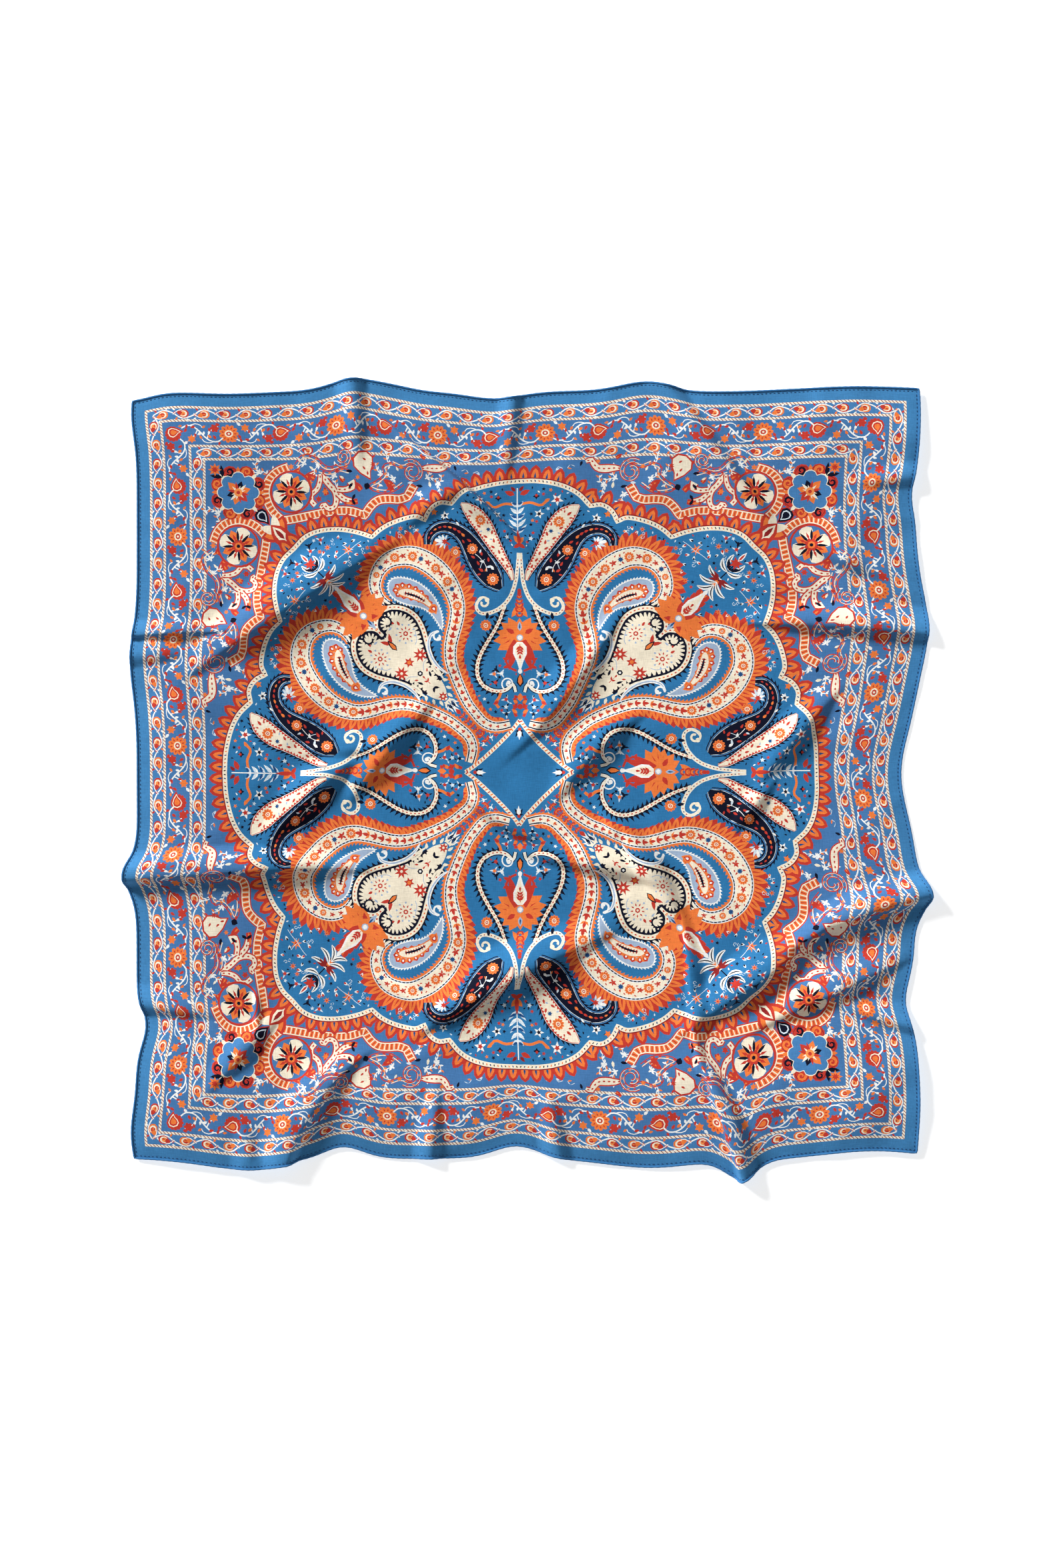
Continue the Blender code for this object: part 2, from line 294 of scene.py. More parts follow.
@dataclass
class LaidCloth:
    """The square of silk as it lies: takes points of the flat cut to their places."""

    middle: tuple[float, float] = (-8.1, 8.5)
    origin: tuple[float, float] = (-1.26, 0.23)
    left: float = 0.9415      # shares of each half's length that its small ripples leave
    right: float = 0.9800
    bottom: float = 0.9538
    top: float = 0.9389
    fold_gain: float = 1.3    # the drawn folds stand a little taller than the plain solid's
    tall: float = 15.0        # higher crests sag a little, by at most squash
    squash: float = 9.5

    @staticmethod
    def taken_up(u: Array, low: float, high: float) -> Array:
        """Length of a half of the cut after its small ripples took some of it up."""
        bend = np.sqrt(u * u + TAKE_UP_BLEND**2) - TAKE_UP_BLEND
        return u * (high + low) / 2 + bend * (high - low) / 2

    @staticmethod
    def edge_shift(x: Array, y: Array, u: Array, v: Array) -> tuple[Array, Array]:
        """Outward shift of the cloth near its edges.

        Args:
            x, y: places on the floor.
            u, v: the same places on the cut.

        Returns:
            The moves in x and y.
        """
        half = CUT_SIDE / 2
        places = {
            Side.LEFT: (half + u, y, (-1, 0)),
            Side.RIGHT: (half - u, y, (1, 0)),
            Side.BOTTOM: (half + v, x, (0, -1)),
            Side.TOP: (half - v, x, (0, 1)),
        }
        dx = np.zeros_like(x)
        dy = np.zeros_like(y)
        for wave in EDGE_WAVES:
            depth, along, outward = places[wave.side]
            near = np.exp(-((along - wave.at) / wave.width) ** 2 / 2)
            amount = wave.out * near * np.exp(-((depth / wave.reach) ** 2))
            dx += outward[0] * amount
            dy += outward[1] * amount
        return dx, dy

    @staticmethod
    def ripples(x: Array, y: Array) -> Array:
        """Height of the shallow waves and creases that run all over the silk."""
        total = np.zeros_like(x)
        for wave in RIPPLES:
            total += wave.ripple(x, y)
        for wave in CREASES:
            total += wave.crease(x, y)
        return total

    @staticmethod
    def swells(u: Array, v: Array) -> Array:
        """Height of the low swells inside the edges."""
        total = np.zeros_like(u)
        for swell in SWELLS:
            inward = {Side.LEFT: u, Side.RIGHT: -u, Side.BOTTOM: v, Side.TOP: -v}[swell.side]
            total += swell.height(CUT_SIDE / 2 + inward)
        return total

    def lay(self, u: Array, v: Array) -> tuple[Array, Array, Array]:
        """Where points of the flat cut lie, in millimetres.

        Args:
            u, v: places on the cut, from its middle, in millimetres.

        Returns:
            x, y and the height of the cloth's underside.
        """
        x = self.middle[0] + self.taken_up(u, self.left, self.right)
        y = self.middle[1] + self.taken_up(v, self.bottom, self.top)
        dx, dy = self.edge_shift(x, y, u, v)
        x = x + dx
        y = y + dy
        shift_x = np.zeros_like(x)
        shift_y = np.zeros_like(y)
        height = np.zeros_like(x)
        for fold in FOLDS:
            rise, move_x, move_y = fold.shape(x, y)
            height += rise
            shift_x += move_x
            shift_y += move_y
        height = height * self.fold_gain + self.ripples(x, y) + self.swells(u, v)
        sagged = self.tall + self.squash * np.tanh((height - self.tall) / self.squash)
        height = np.where(height < self.tall, height, sagged)
        return x + shift_x + self.origin[0], y + shift_y + self.origin[1], height

    def places(self, cut: Array) -> Array:
        """Laid places of points of the cut, one row for each."""
        return np.stack(self.lay(cut[:, 0], cut[:, 1]), axis=1)

    def normals(self, cut: Array, arm: float = 0.8) -> Array:
        """Unit normals of the laid cloth, from places an arm's length to each side."""
        across = np.array([arm, 0.0])
        up = np.array([0.0, arm])
        du = self.places(cut + across) - self.places(cut - across)
        dv = self.places(cut + up) - self.places(cut - up)
        n = np.cross(du, dv)
        return n / np.linalg.norm(n, axis=1)[:, None]

    def bend(self, cut: Array, reach: float = 4.0) -> Array:
        """How sharply the laid cloth bends at places of the cut, per millimetre."""
        u, v = cut[:, 0], cut[:, 1]
        level = self.lay(u, v)[2]
        along = self.lay(u + reach, v)[2] + self.lay(u - reach, v)[2] - 2 * level
        across = self.lay(u, v + reach)[2] + self.lay(u, v - reach)[2] - 2 * level
        return (np.abs(along) + np.abs(across)) / reach**2


CLOTH = LaidCloth()

# ---------------------------------------------------------------------------------------------
# Drawing tools: everything printed is a polygon of the flat cut
# ---------------------------------------------------------------------------------------------


Rows = Sequence[Sequence[float]] | Array
Widths = float | Array


class Ink(IntEnum):
    """Colours of the print. DASH is cream with red dashes, made in the material."""

    PLAIN = 0, (66, 131, 184)
    FIELD = 1, (72, 129, 184)
    DUSK = 2, (72, 122, 176)
    MEDALLION = 3, (48, 120, 173)
    CREAM = 4, (250, 238, 213)
    RED = 5, (199, 60, 48)
    ORANGE = 6, (243, 127, 62)
    NAVY = 7, (12, 16, 38)
    SKY = 8, (166, 186, 212)
    WHITE = 9, (248, 248, 244)
    DASH = 10, (251, 240, 219)
    BRICK = 11, (146, 38, 38)
    AMBER = 12, (250, 152, 82)
    VINE = 13, (214, 228, 238)
    STEEL = 14, (34, 78, 132)

    def __new__(cls, number: int, colour: tuple[int, int, int]) -> "Ink":
        """Give each ink its number and its 8-bit display colour."""
        member = int.__new__(cls, number)
        member._value_ = number
        member.colour = colour
        return member


PLAIN, FIELD, DUSK, GROUND, CREAM, RED, ORANGE, NAVY, SKY, WHITE, DASH, BRICK, AMBER, VINE, STEEL = Ink


class Copies(Enum):
    """How often a drawn shape is repeated round the middle of the cut."""

    ONCE = 1
    TURNED = 4
    MIRRORED = 8


def turned(points: Array, angle: float) -> Array:
    """Points turned about the origin by an angle in radians."""
    c, s = math.cos(angle), math.sin(angle)
    return points @ np.array([[c, s], [-s, c]])


def placed(points: Array, x: float, y: float, angle: float = 0.0, size: float = 1.0) -> Array:
    """Carry local points to a place.

    Args:
        points: rows of x and y.
        x, y: where the local origin goes.
        angle: turn, in degrees.
        size: scale, made before the turn.

    Returns:
        The points, one row for each.
    """
    flat = np.asarray(points, float) * size
    return turned(flat, math.radians(angle)) + np.array([x, y])


SPLINE_PARTS = 8          # pieces into which a curve between two control points is cut


def spline(rows: Rows, step: float = 3.0) -> Array:
    """A smooth curve through rows, sampled at even steps of its length.

    Args:
        rows: control points; further columns, such as a width, are carried along.
        step: distance between samples, in millimetres.

    Returns:
        An array with one row for each sample.
    """
    p = np.asarray(rows, float)
    t = np.concatenate([[0.0], np.cumsum(np.sqrt(np.linalg.norm(np.diff(p[:, :2], axis=0), axis=1)) + 1e-6)])
    slope = np.empty_like(p)
    slope[1:-1] = (p[2:] - p[:-2]) / (t[2:] - t[:-2])[:, None]
    slope[0] = (p[1] - p[0]) / (t[1] - t[0])
    slope[-1] = (p[-1] - p[-2]) / (t[-1] - t[-2])
    fine = []
    for i in range(len(p) - 1):
        s = np.linspace(0, 1, SPLINE_PARTS + 1)[:-1, None]
        h = t[i + 1] - t[i]
        fine.append((2 * s**3 - 3 * s**2 + 1) * p[i] + (s**3 - 2 * s**2 + s) * h * slope[i]
                    + (3 * s**2 - 2 * s**3) * p[i + 1] + (s**3 - s**2) * h * slope[i + 1])
    fine = np.vstack(fine + [p[-1:]])
    length = np.concatenate([[0.0], np.cumsum(np.linalg.norm(np.diff(fine[:, :2], axis=0), axis=1))])
    count = max(2, round(length[-1] / step))
    at = np.linspace(0, length[-1], count + 1)
    return np.stack([np.interp(at, length, fine[:, i]) for i in range(p.shape[1])], axis=1)


def polyline(points: Rows, step: float = 6.0) -> Array:
    """Straight lines through points, cut into steps, with every corner kept.

    Args:
        points: the corners.
        step: length of a step, in millimetres.

    Returns:
        An array with one row for each place.
    """
    out = []
    for start, end in zip(points[:-1], points[1:]):
        start, end = np.asarray(start, float), np.asarray(end, float)
        count = max(1, round(np.linalg.norm(end - start) / step))
        out.append(start + (end - start) * (np.arange(count) / count)[:, None])
    return np.vstack(out + [np.asarray(points[-1:], float)])


def normals(path: Array) -> Array:
    """Unit vectors to the left of a path."""
    run = np.gradient(path[:, :2], axis=0)
    run = run / np.maximum(np.linalg.norm(run, axis=1), 1e-9)[:, None]
    return np.stack([-run[:, 1], run[:, 0]], axis=1)


def offset(path: Array, distance: Widths) -> Array:
    """A path moved to its left by a distance, or by one distance for each point."""
    return path[:, :2] + normals(path) * np.broadcast_to(distance, len(path))[:, None]


def stations(path: Array, pitch: float) -> Iterator[tuple[float, float, float, float]]:
    """Places at an even pitch along a path.

    Args:
        path: rows of x and y.
        pitch: distance between places; it is rounded so that a whole number of them fits.

    Returns:
        For each place its x, y, direction in degrees and share of the way along.
    """
    p = path[:, :2]
    length = np.concatenate([[0.0], np.cumsum(np.linalg.norm(np.diff(p, axis=0), axis=1))])
    count = max(1, round(length[-1] / pitch))
    at = (np.arange(count) + 0.5) / count
    at = at * length[-1]
    run = np.gradient(p, axis=0)
    angle = np.degrees(np.unwrap(np.arctan2(run[:, 1], run[:, 0])))
    return zip(np.interp(at, length, p[:, 0]), np.interp(at, length, p[:, 1]),
               np.interp(at, length, angle), at / length[-1])


def spiral(x: float, y: float, radius: float, turns: float, angle: float, shrink: float = 0.15,
           step: float = 2.0) -> Array:
    """A spiral that winds in to its middle, to the left if turns is positive.

    Args:
        x, y, radius: the middle, and the distance from it at the start.
        turns, angle: number of turns, and direction of the start from the middle.
        shrink, step: share of the radius left at the end; distance between samples.

    Returns:
        An array with one row for each sample.
    """
    count = max(6, round(abs(turns) * 2 * math.pi * radius * 0.65 / step))
    s = np.linspace(0, 1, count)
    r = radius * (1 - (1 - shrink) * s)
    a = math.radians(angle) + s * turns * 2 * math.pi
    return np.stack([x + r * np.cos(a), y + r * np.sin(a)], axis=1)


LEAF = np.array([(0, 0), (0.3, 0.5), (0.65, 0.42), (1, 0), (0.65, -0.42), (0.3, -0.5)])
SLIM = np.array([(0, 0), (0.4, 0.5), (1, 0), (0.4, -0.5)])
DROP = np.array([(0, 0), (0.35, 0.2), (0.62, 0.44), (0.85, 0.42), (1, 0.16),
                 (1, -0.16), (0.85, -0.42), (0.62, -0.44), (0.35, -0.2)])
BOTEH = np.array([(0.0, 0.05), (0.24, 0.13), (0.46, 0.30), (0.70, 0.38), (0.93, 0.24), (1.0, -0.05),
                  (0.88, -0.31), (0.62, -0.38), (0.30, -0.22)])
BAR = np.array([(0, 0.5), (1, 0.5), (1, -0.5), (0, -0.5)])
TONGUE = np.array([(0, 0.5), (0.42, 0.6), (0.72, 0.4), (1, 0), (0.7, -0.42), (0.4, -0.56), (0, -0.5)])
FLAME_PARTS = (
    (1.0, 1.15, RED, TONGUE),
    (0.88, 0.8, ORANGE, TONGUE),
    (0.62, 0.24, RED, SLIM),
)


@dataclass
class Drawing:
    """Polygons of the print, in the order they are painted. Directions are in degrees."""

    copies: Copies = Copies.MIRRORED
    places: list[Array] = field(default_factory=list)
    faces: list[list[int]] = field(default_factory=list)
    inks: list[int] = field(default_factory=list)
    count: int = 0

    def _paint(self, points: Array, faces: list[list[int]], ink: Ink) -> None:
        """Add every copy of a group of faces that share their points."""
        mirrors = (1, -1) if self.copies is Copies.MIRRORED else (1,)
        turns = 1 if self.copies is Copies.ONCE else 4
        for mirror in mirrors:
            flat = points * np.array([1.0, mirror])
            for quarter in range(turns):
                self.places.append(turned(flat, quarter * math.pi / 2))
                for face in faces:
                    self.faces.append([i + self.count for i in face])
                    self.inks.append(int(ink))
                self.count += len(points)

    def shape(self, points: Rows, ink: Ink) -> None:
        """Paint one closed outline."""
        points = np.asarray(points, float)[:, :2]
        self._paint(points, [list(range(len(points)))], ink)

    def strip(self, left: Array, right: Array, ink: Ink) -> None:
        """Paint the strip between two paths with the same number of points."""
        n = len(left)
        faces = [[i, i + 1, i + 1 + n, i + n] for i in range(n - 1)]
        self._paint(np.vstack([left[:, :2], right[:, :2]]), faces, ink)

    def ribbon(self, path: Array, width: Widths, ink: Ink, shift: float = 0.0) -> None:
        """Paint a strip along a path, width wide and shift to its left."""
        half = np.broadcast_to(width, len(path)) / 2
        self.strip(offset(path, shift + half), offset(path, shift - half), ink)

    def leaf(self, x: float, y: float, angle: float, length: float, width: float, ink: Ink,
             form: Array = LEAF) -> None:
        """Paint a leaf or another unit form.

        Args:
            x, y, angle: where the form starts, and its direction.
            length, width, ink, form: its size, colour and outline of unit length.
        """
        self.shape(placed(form * np.array([length, width]), x, y, angle), ink)

    def flower(self, x: float, y: float, radius: float, petals: int, ink: Ink, notch: float = 0.4,
               turn: float = 0.0) -> None:
        """Paint a flower head with pointed gaps between its petals.

        Args:
            x, y, radius, petals: its middle, reach and number of petals.
            ink, notch, turn: colour, depth of the gaps by radius, direction of the first gap.
        """
        k = np.arange(petals * 3)
        r = np.where(k % 3 == 0, radius * (1 - notch), radius)
        a = (k // 3 + np.array([0.0, 0.3, 0.7])[k % 3]) * 2 * math.pi / petals + math.radians(turn)
        self.shape(np.stack([x + r * np.cos(a), y + r * np.sin(a)], axis=1), ink)

    def scallop(self, x: float, y: float, radius: float, lobes: int, ink: Ink, depth: float = 0.2,
                turn: float = 0.0) -> None:
        """Paint a disc with a round-lobed edge.

        Args:
            x, y, radius, lobes: its middle, reach and number of lobes.
            ink, depth, turn: colour, depth of the notches by radius, direction of the first lobe.
        """
        k = np.arange(lobes * 5)
        r = radius * (1 - depth * (1 - np.sin(math.pi * (k % 5) / 5) ** 0.7))
        a = k * 2 * math.pi / len(k) + math.radians(turn) - math.pi / lobes
        self.shape(np.stack([x + r * np.cos(a), y + r * np.sin(a)], axis=1), ink)

    def star(self, x: float, y: float, radius: float, points: int, ink: Ink, waist: float = 0.45,
             turn: float = 0.0) -> None:
        """Paint a star or a pointed flower.

        Args:
            x, y, radius, points: its middle, reach and number of points.
            ink, waist, turn: colour, inner radius by radius, direction of the first point.
        """
        k = np.arange(points * 2)
        r = np.where(k % 2 == 0, radius, radius * waist)
        a = k * math.pi / points + math.radians(turn)
        self.shape(np.stack([x + r * np.cos(a), y + r * np.sin(a)], axis=1), ink)

    def disc(self, x: float, y: float, radius: float, ink: Ink, sides: int = 8, squash: float = 1.0,
             angle: float = 0.0) -> None:
        """Paint a dot.

        Args:
            x, y, radius, ink, sides: its middle, half length, colour and number of corners.
            squash, angle: its width by its length, and the direction of its length.
        """
        a = np.arange(sides) * 2 * math.pi / sides
        self.shape(placed(np.stack([radius * np.cos(a), radius * squash * np.sin(a)], axis=1), x, y, angle),
                   ink)

    def petals(self, x: float, y: float, inner: float, outer: float, count: int, width: float, ink: Ink,
               turn: float = 0.0, form: Array = SLIM) -> None:
        """Paint separate petals round a middle.

        Args:
            x, y, inner, outer: the middle, and the radii where petals start and end.
            count, width, ink: their number, width and colour.
            turn, form: direction of the first, and outline of a petal.
        """
        for k in range(count):
            angle = turn + k * 360 / count
            start = placed([(inner, 0)], x, y, angle)[0]
            self.leaf(start[0], start[1], angle, outer - inner, width, ink, form)

    def teeth(self, path: Array, pitch: float, height: float | Sequence[float], ink: Ink, side: int = 1,
              lean: float = 0.35) -> None:
        """Paint a saw edge on one side of a path.

        Args:
            path, pitch, ink: the line that carries it, distance from tooth to tooth, colour.
            height: height of the teeth, or heights that are spread along the path.
            side, lean: 1 for left or -1 for right; how far a tip leans, by pitch.
        """
        sizes = np.atleast_1d(height)
        for x, y, angle, at in stations(path, pitch):
            tall = side * float(np.interp(at, np.linspace(0, 1, len(sizes)), sizes))
            points = np.array([(-pitch * 0.42, 0), (pitch * lean, tall), (pitch * 0.42, 0)])
            self.shape(placed(points, x, y, angle), ink)

    def dashes(self, path: Array, pitch: float, length: float, width: float, inks: Sequence[Ink],
               slant: float = 0.0) -> None:
        """Paint short dashes across a path.

        Args:
            path, pitch: the line that carries them, and the distance from dash to dash.
            length, width, slant: size of a dash, and its turn away from square.
            inks: colours, taken in turn.
        """
        for k, (x, y, angle, _) in enumerate(stations(path, pitch)):
            self.leaf(*placed([(-length / 2 * math.sin(math.radians(slant)), -length / 2)], x, y, angle)[0],
                      angle + 90 - slant, length, width, inks[k % len(inks)], BAR)

    def flames(self, path: Array, pitch: float, lengths: Sequence[float], side: int = 1,
               lean: float = 25.0) -> None:
        """Paint a fringe of tongues: red behind, orange in front, a red vein in each.

        Args:
            path, pitch: the line that carries it, and the distance from tongue to tongue.
            lengths: lengths that are spread along the path.
            side, lean: 1 for left or -1 for right; how far a tongue leans forwards.
        """
        sizes = np.atleast_1d(lengths)
        rows = list(stations(path, pitch))
        for part, (reach, wide, ink, form) in enumerate(FLAME_PARTS):
            for x, y, angle, at in rows:
                tall = float(np.interp(at, np.linspace(0, 1, len(sizes)), sizes))
                start = placed([((0.5 if part == 0 else 0.0) * pitch, -side * 0.6)], x, y, angle)[0]
                self.leaf(start[0], start[1], angle + side * (90 - lean), tall * reach, pitch * wide, ink,
                          form)

    def rosette(self, x: float, y: float, radius: float, turn: float = 0.0) -> None:
        """Paint the orange flower with red veins, a cream ring and a red drop."""
        self.flower(x, y, radius, 11, ORANGE, 0.2, turn)
        self.petals(x, y, radius * 0.5, radius * 0.82, 11, radius * 0.16, RED, turn + 16)
        self.disc(x, y, radius * 0.44, CREAM, 9, 0.9, turn)
        self.disc(x, y, radius * 0.3, RED, 7, 0.85, turn)
        self.disc(x, y, radius * 0.13, CREAM, 5)

    def comma(self, x: float, y: float, angle: float, size: float, inks: Sequence[Ink],
              steps: Sequence[float], flip: int = 1) -> None:
        """Paint a small paisley from its tip, one layer inside another.

        Args:
            x, y, angle, size: its tip, direction and length.
            inks, steps: colours and relative sizes of the layers, from the outermost in.
            flip: 1 or -1, the side to which it bends.
        """
        for scale, ink in zip(steps, inks):
            form = (BOTEH - np.array([0.56, 0.0])) * scale + np.array([0.56, 0.0])
            self.shape(placed(form * np.array([1.0, flip]), x, y, angle, size), ink)

    def sprig(self, x: float, y: float, angle: float, length: float, pairs: int, leaf: float, ink: Ink,
              tip: Ink) -> None:
        """Paint a straight stem with paired leaves and a bud at its end.

        Args:
            x, y, angle, length: foot, direction and length of the stem.
            pairs, leaf: number of pairs of leaves, and length of the lowest.
            ink, tip: colour of stem and leaves, and of the bud.
        """
        end = placed([(length, 0)], x, y, angle)[0]
        self.ribbon(np.array([(x, y), (x + (end[0] - x) / 2, y + (end[1] - y) / 2), tuple(end)]), 0.8, ink)
        for k in range(pairs):
            at = placed([(length * (k + 0.6) / (pairs + 0.4), 0)], x, y, angle)[0]
            size = leaf * (1.0 - 0.35 * k / max(pairs, 1))
            for side in (1, -1):
                self.leaf(at[0], at[1], angle + side * 42.0, size, size * 0.42, ink)
        self.leaf(end[0], end[1], angle, leaf * 0.9, leaf * 0.45, tip, DROP)

    def vine(self, rows: Rows, ink: Ink, width: float, step: float = 3.0) -> None:
        """Paint a thin line through rows."""
        self.ribbon(spline(rows, step), width, ink)

    def lined(self, path: Array, width: Widths, inks: Sequence[tuple[float, Ink]]) -> None:
        """Paint nested ribbons; inks has (width added, ink) from the widest to the narrowest."""
        for extra, ink in inks:
            self.ribbon(path, np.maximum(np.asarray(width) + extra, 0.2), ink)

    def pair(self, x: float, y: float, angle: float, turn: float, length: float, width: float, ink: Ink,
             form: Array = LEAF) -> None:
        """Paint two leaves from one place, turned by the same angle to either side.

        Args:
            x, y, angle, turn: their start, the direction between them and the angle of each to it.
            length, width, ink, form: as for leaf().
        """
        for side in (1, -1):
            self.leaf(x, y, angle + side * turn, length, width, ink, form)

    def leaves(self, *rows: tuple) -> None:
        """Paint a leaf for each row of leaf()'s arguments."""
        for row in rows:
            self.leaf(*row)

    def scatter(self, rows: Sequence[tuple[float, float, float, float, Ink]], share: float) -> None:
        """Paint a leaf for each row of x, y, direction, length and ink; share is width by length."""
        for x, y, turn, size, ink in rows:
            self.leaf(x, y, turn, size, size * share, ink)

# ---------------------------------------------------------------------------------------------
# The print itself
# ---------------------------------------------------------------------------------------------

RINGS = [
    (448.4, PLAIN), (434.0, DASH), (431.0, FIELD), (418.0, DASH), (415.0, DUSK),
    (387.0, DASH), (384.0, FIELD), (371.0, DASH), (368.0, DUSK),
]
NARROW_BANDS = ((424.5, 36), (377.5, 32))
MEDALLION_STEP = 3.8
MEDALLION = [
    [(346, 0), (344.5, 24), (338, 50), (328, 68), (314, 81)],
    [(314, 81), (315.5, 93), (311, 102), (304, 108), (295, 111.5)],
    [(295, 111.5), (299.5, 121), (298, 134), (293, 150), (286, 163), (277, 173)],
    [(277, 173), (283, 190), (287, 212), (286, 235), (279, 253), (266, 266)],
]
BIG_PAISLEY = [
    (57, 11, 7), (54, 24, 8), (55, 34, 8.5), (60, 43, 9), (69, 51, 9), (81, 60, 9), (95, 67, 9.5),
    (112, 74, 10), (129, 79.5, 11), (145, 80.5, 12), (160, 78, 13), (176, 74, 14), (192, 72, 15),
    (208, 75.5, 17), (223, 83, 19), (237, 95, 20.5), (248, 110, 21), (254, 126, 20.5), (253, 142, 19),
    (246, 156, 16), (233, 165, 13), (218, 168, 11), (206, 164, 9), (198, 156, 7), (193, 143, 3.5),
]
BIG_FLAMES = [9, 10, 12, 13, 14, 16, 18, 20, 21, 22, 22, 20, 17, 12]
TEARDROP = [(166, 90), (176, 89.5), (188, 91), (202, 97), (214, 106), (224, 120), (228.5, 136), (226, 149),
            (217, 153), (207, 150), (200, 141), (196, 128), (194, 116), (188, 105), (178, 97), (166, 90)]
HEART_EDGE = [
    (86, 84), (98, 86), (108, 91), (118, 97.5), (130, 104), (142, 108.5), (156, 112), (170, 116.5),
    (182, 124), (189, 136), (190, 149), (185, 159), (176, 164), (167, 162.5), (162, 157), (158, 158),
]
TOOTHED_STALK = [(95, 5, 2.4), (104, 8, 2.8), (98, 15, 3.6), (95.5, 24, 4.4), (97, 34, 5.2), (103, 43, 5.6),
                 (113, 48.5, 5.8), (126, 49, 5.8), (139, 45, 5.6), (152, 38, 5.4), (166, 29.5, 5.2),
                 (180, 22.5, 4.8), (196, 17, 4)]
CREAM_BRANCH = [
    (258, 1.5, 3), (240, 2.5, 4), (224, 4.5, 4.6), (208, 10, 4.8), (197, 18, 4.8), (190, 28, 4.8),
    (187, 38, 4.6), (188, 46, 4.2), (194, 50, 3.8), (201, 48.5, 3.2), (206, 43, 2.6),
]
PETAL = [(226, 8, 2), (236, 11, 6), (248, 18, 9), (262, 27, 13), (276, 35, 17), (290, 43, 21), (302, 53, 20),
         (310, 62, 12), (315, 69, 1)]
HOOK = [
    (218, 24, 8), (226, 30, 19), (238, 39, 24), (251, 48, 23), (264, 56, 19), (276, 65, 14), (284, 76, 10.5),
    (287, 88, 9), (284, 99, 7.5), (276, 106, 5.5), (267, 107, 3),
]
SPANDREL_ROPE = [
    [(337, 125), (323, 133)],
    [(323, 133), (320, 142), (320.5, 154), (319, 166), (312, 175), (302, 182)],
    [(302, 182), (307, 198), (308, 214), (306, 232), (303, 250), (300, 266), (298, 279)],
    [(298, 279), (306, 288), (317, 295), (331, 298), (345, 294), (355, 284), (360, 271)],
]
WIDE_VINES = [
    ([(-5, 7), (-9.5, 12), (-9.5, 20), (-5, 27), (2, 33), (8, 40), (9.5, 47), (6, 54)], 1.6),
    ([(-6.5, 25), (0, 23), (5, 19), (8.5, 12)], 1.3),
    ([(4.5, 35.5), (-1, 38), (-5.5, 42), (-10, 47)], 1.3),
    ([(-9.8, 17), (-11.5, 23), (-10, 29), (-7, 31)], 1.0),
    ([(9.3, 44), (11.5, 38), (10, 32), (6.5, 30)], 1.0),
]
WIDE_INKS = (RED, RED, ORANGE, WHITE)
WIDE_LEAVES = [(-10, 10, -60, 5), (-7, 15, 60, 6), (-5.5, 20, 40, 6), (-1, 23, 100, 5), (10, 10, 30, 5.5),
               (2, 21, 70, 5.5), (-7, 31, 60, 5.5), (1, 31, -30, 6), (8.5, 38, -20, 6), (10.5, 47, -70, 5.5),
               (6.5, 30, 140, 5), (-10, 48, -40, 6), (6, 48, -60, 6), (0, 39, -100, 5), (9, 53, -10, 5),
               (-2, 29, 100, 5)]
SCATTERED = [(262, 201, 7, ORANGE), (235, 261, 3.6, ORANGE), (226, 189, 4, ORANGE), (266, 226, 4.4, ORANGE),
             (252, 214, 2.6, RED), (262, 214, 2.8, RED), (270, 208, 2.4, NAVY), (272, 198, 2.6, NAVY),
             (245, 206, 2.6, RED), (250, 198, 2.2, NAVY), (268, 190, 2.6, RED), (256, 188, 2.6, RED),
             (244, 190, 2.2, NAVY), (262, 230, 3, RED), (208, 186, 2.4, NAVY), (264, 178, 3.4, ORANGE),
             (276, 214, 2.2, RED), (254, 222, 2.2, NAVY), (238, 186, 2.2, RED),
             (286, 140, 3.8, ORANGE), (280, 132, 2.4, RED), (290, 128, 2.4, RED), (284, 118, 2.4, ORANGE)]
SCATTERED_CURLS = [
    (250, 232, 30), (244, 198, 100), (270, 220, 200), (258, 182, 20), (277, 140, 60), (284, 124, 160),
]
HOOK_ORNAMENT = [
    (238, 30, 40, 7, WHITE), (242, 33, 100, 6, VINE), (236, 42, 60, 7, RED), (243, 47, 30, 6, RED),
    (247, 36, 10, 6, RED), (251, 52, 60, 6, RED), (254, 44, 20, 6, RED), (233, 45, 100, 5, RED),
    (247, 41, 80, 6, WHITE), (240, 38, 150, 5, ORANGE), (270, 57, 60, 6, RED), (268, 65, 30, 5, RED),
    (257, 47, -20, 5, VINE),
]
PETAL_ORNAMENT = [
    (240, 13, 30, 6, RED), (248, 18, 40, 6, RED), (256, 23, 20, 6, RED), (263, 29, 60, 6, RED),
    (269, 30, 10, 6, RED), (275, 38, 60, 6, RED), (279, 33, -10, 6, RED), (287, 46, 60, 6, RED),
    (291, 37, 10, 5, RED), (303, 55, 50, 7, RED), (300, 57, 90, 5, RED), (306, 52, 10, 4, RED),
    (283, 44, 110, 4, SKY), (273, 32, 80, 4, SKY),
]
PLUME = np.array([(0, 0.5), (0.4, 0.56), (0.78, 0.36), (1, 0), (0.78, -0.36), (0.4, -0.56), (0, -0.5)])
MEDALLION_FRINGE = ((17.5, 12.5, RED, PLUME), (13.5, 7.4, ORANGE, PLUME), (9.0, 2.6, STEEL, SLIM))
CORNER_SPRAYS = [
    (345, 293, 10, 15), (352, 303, 60, 15), (344, 112, -60, 14), (330, 117, 150, 11), (361, 232, 95, 12),
    (345, 214, 60, 11), (358, 150, 80, 10), (345, 146, 120, 10), (362, 250, 60, 9), (338, 100, -100, 9),
    (330, 208, 100, 8), (348, 160, 100, 9),
]
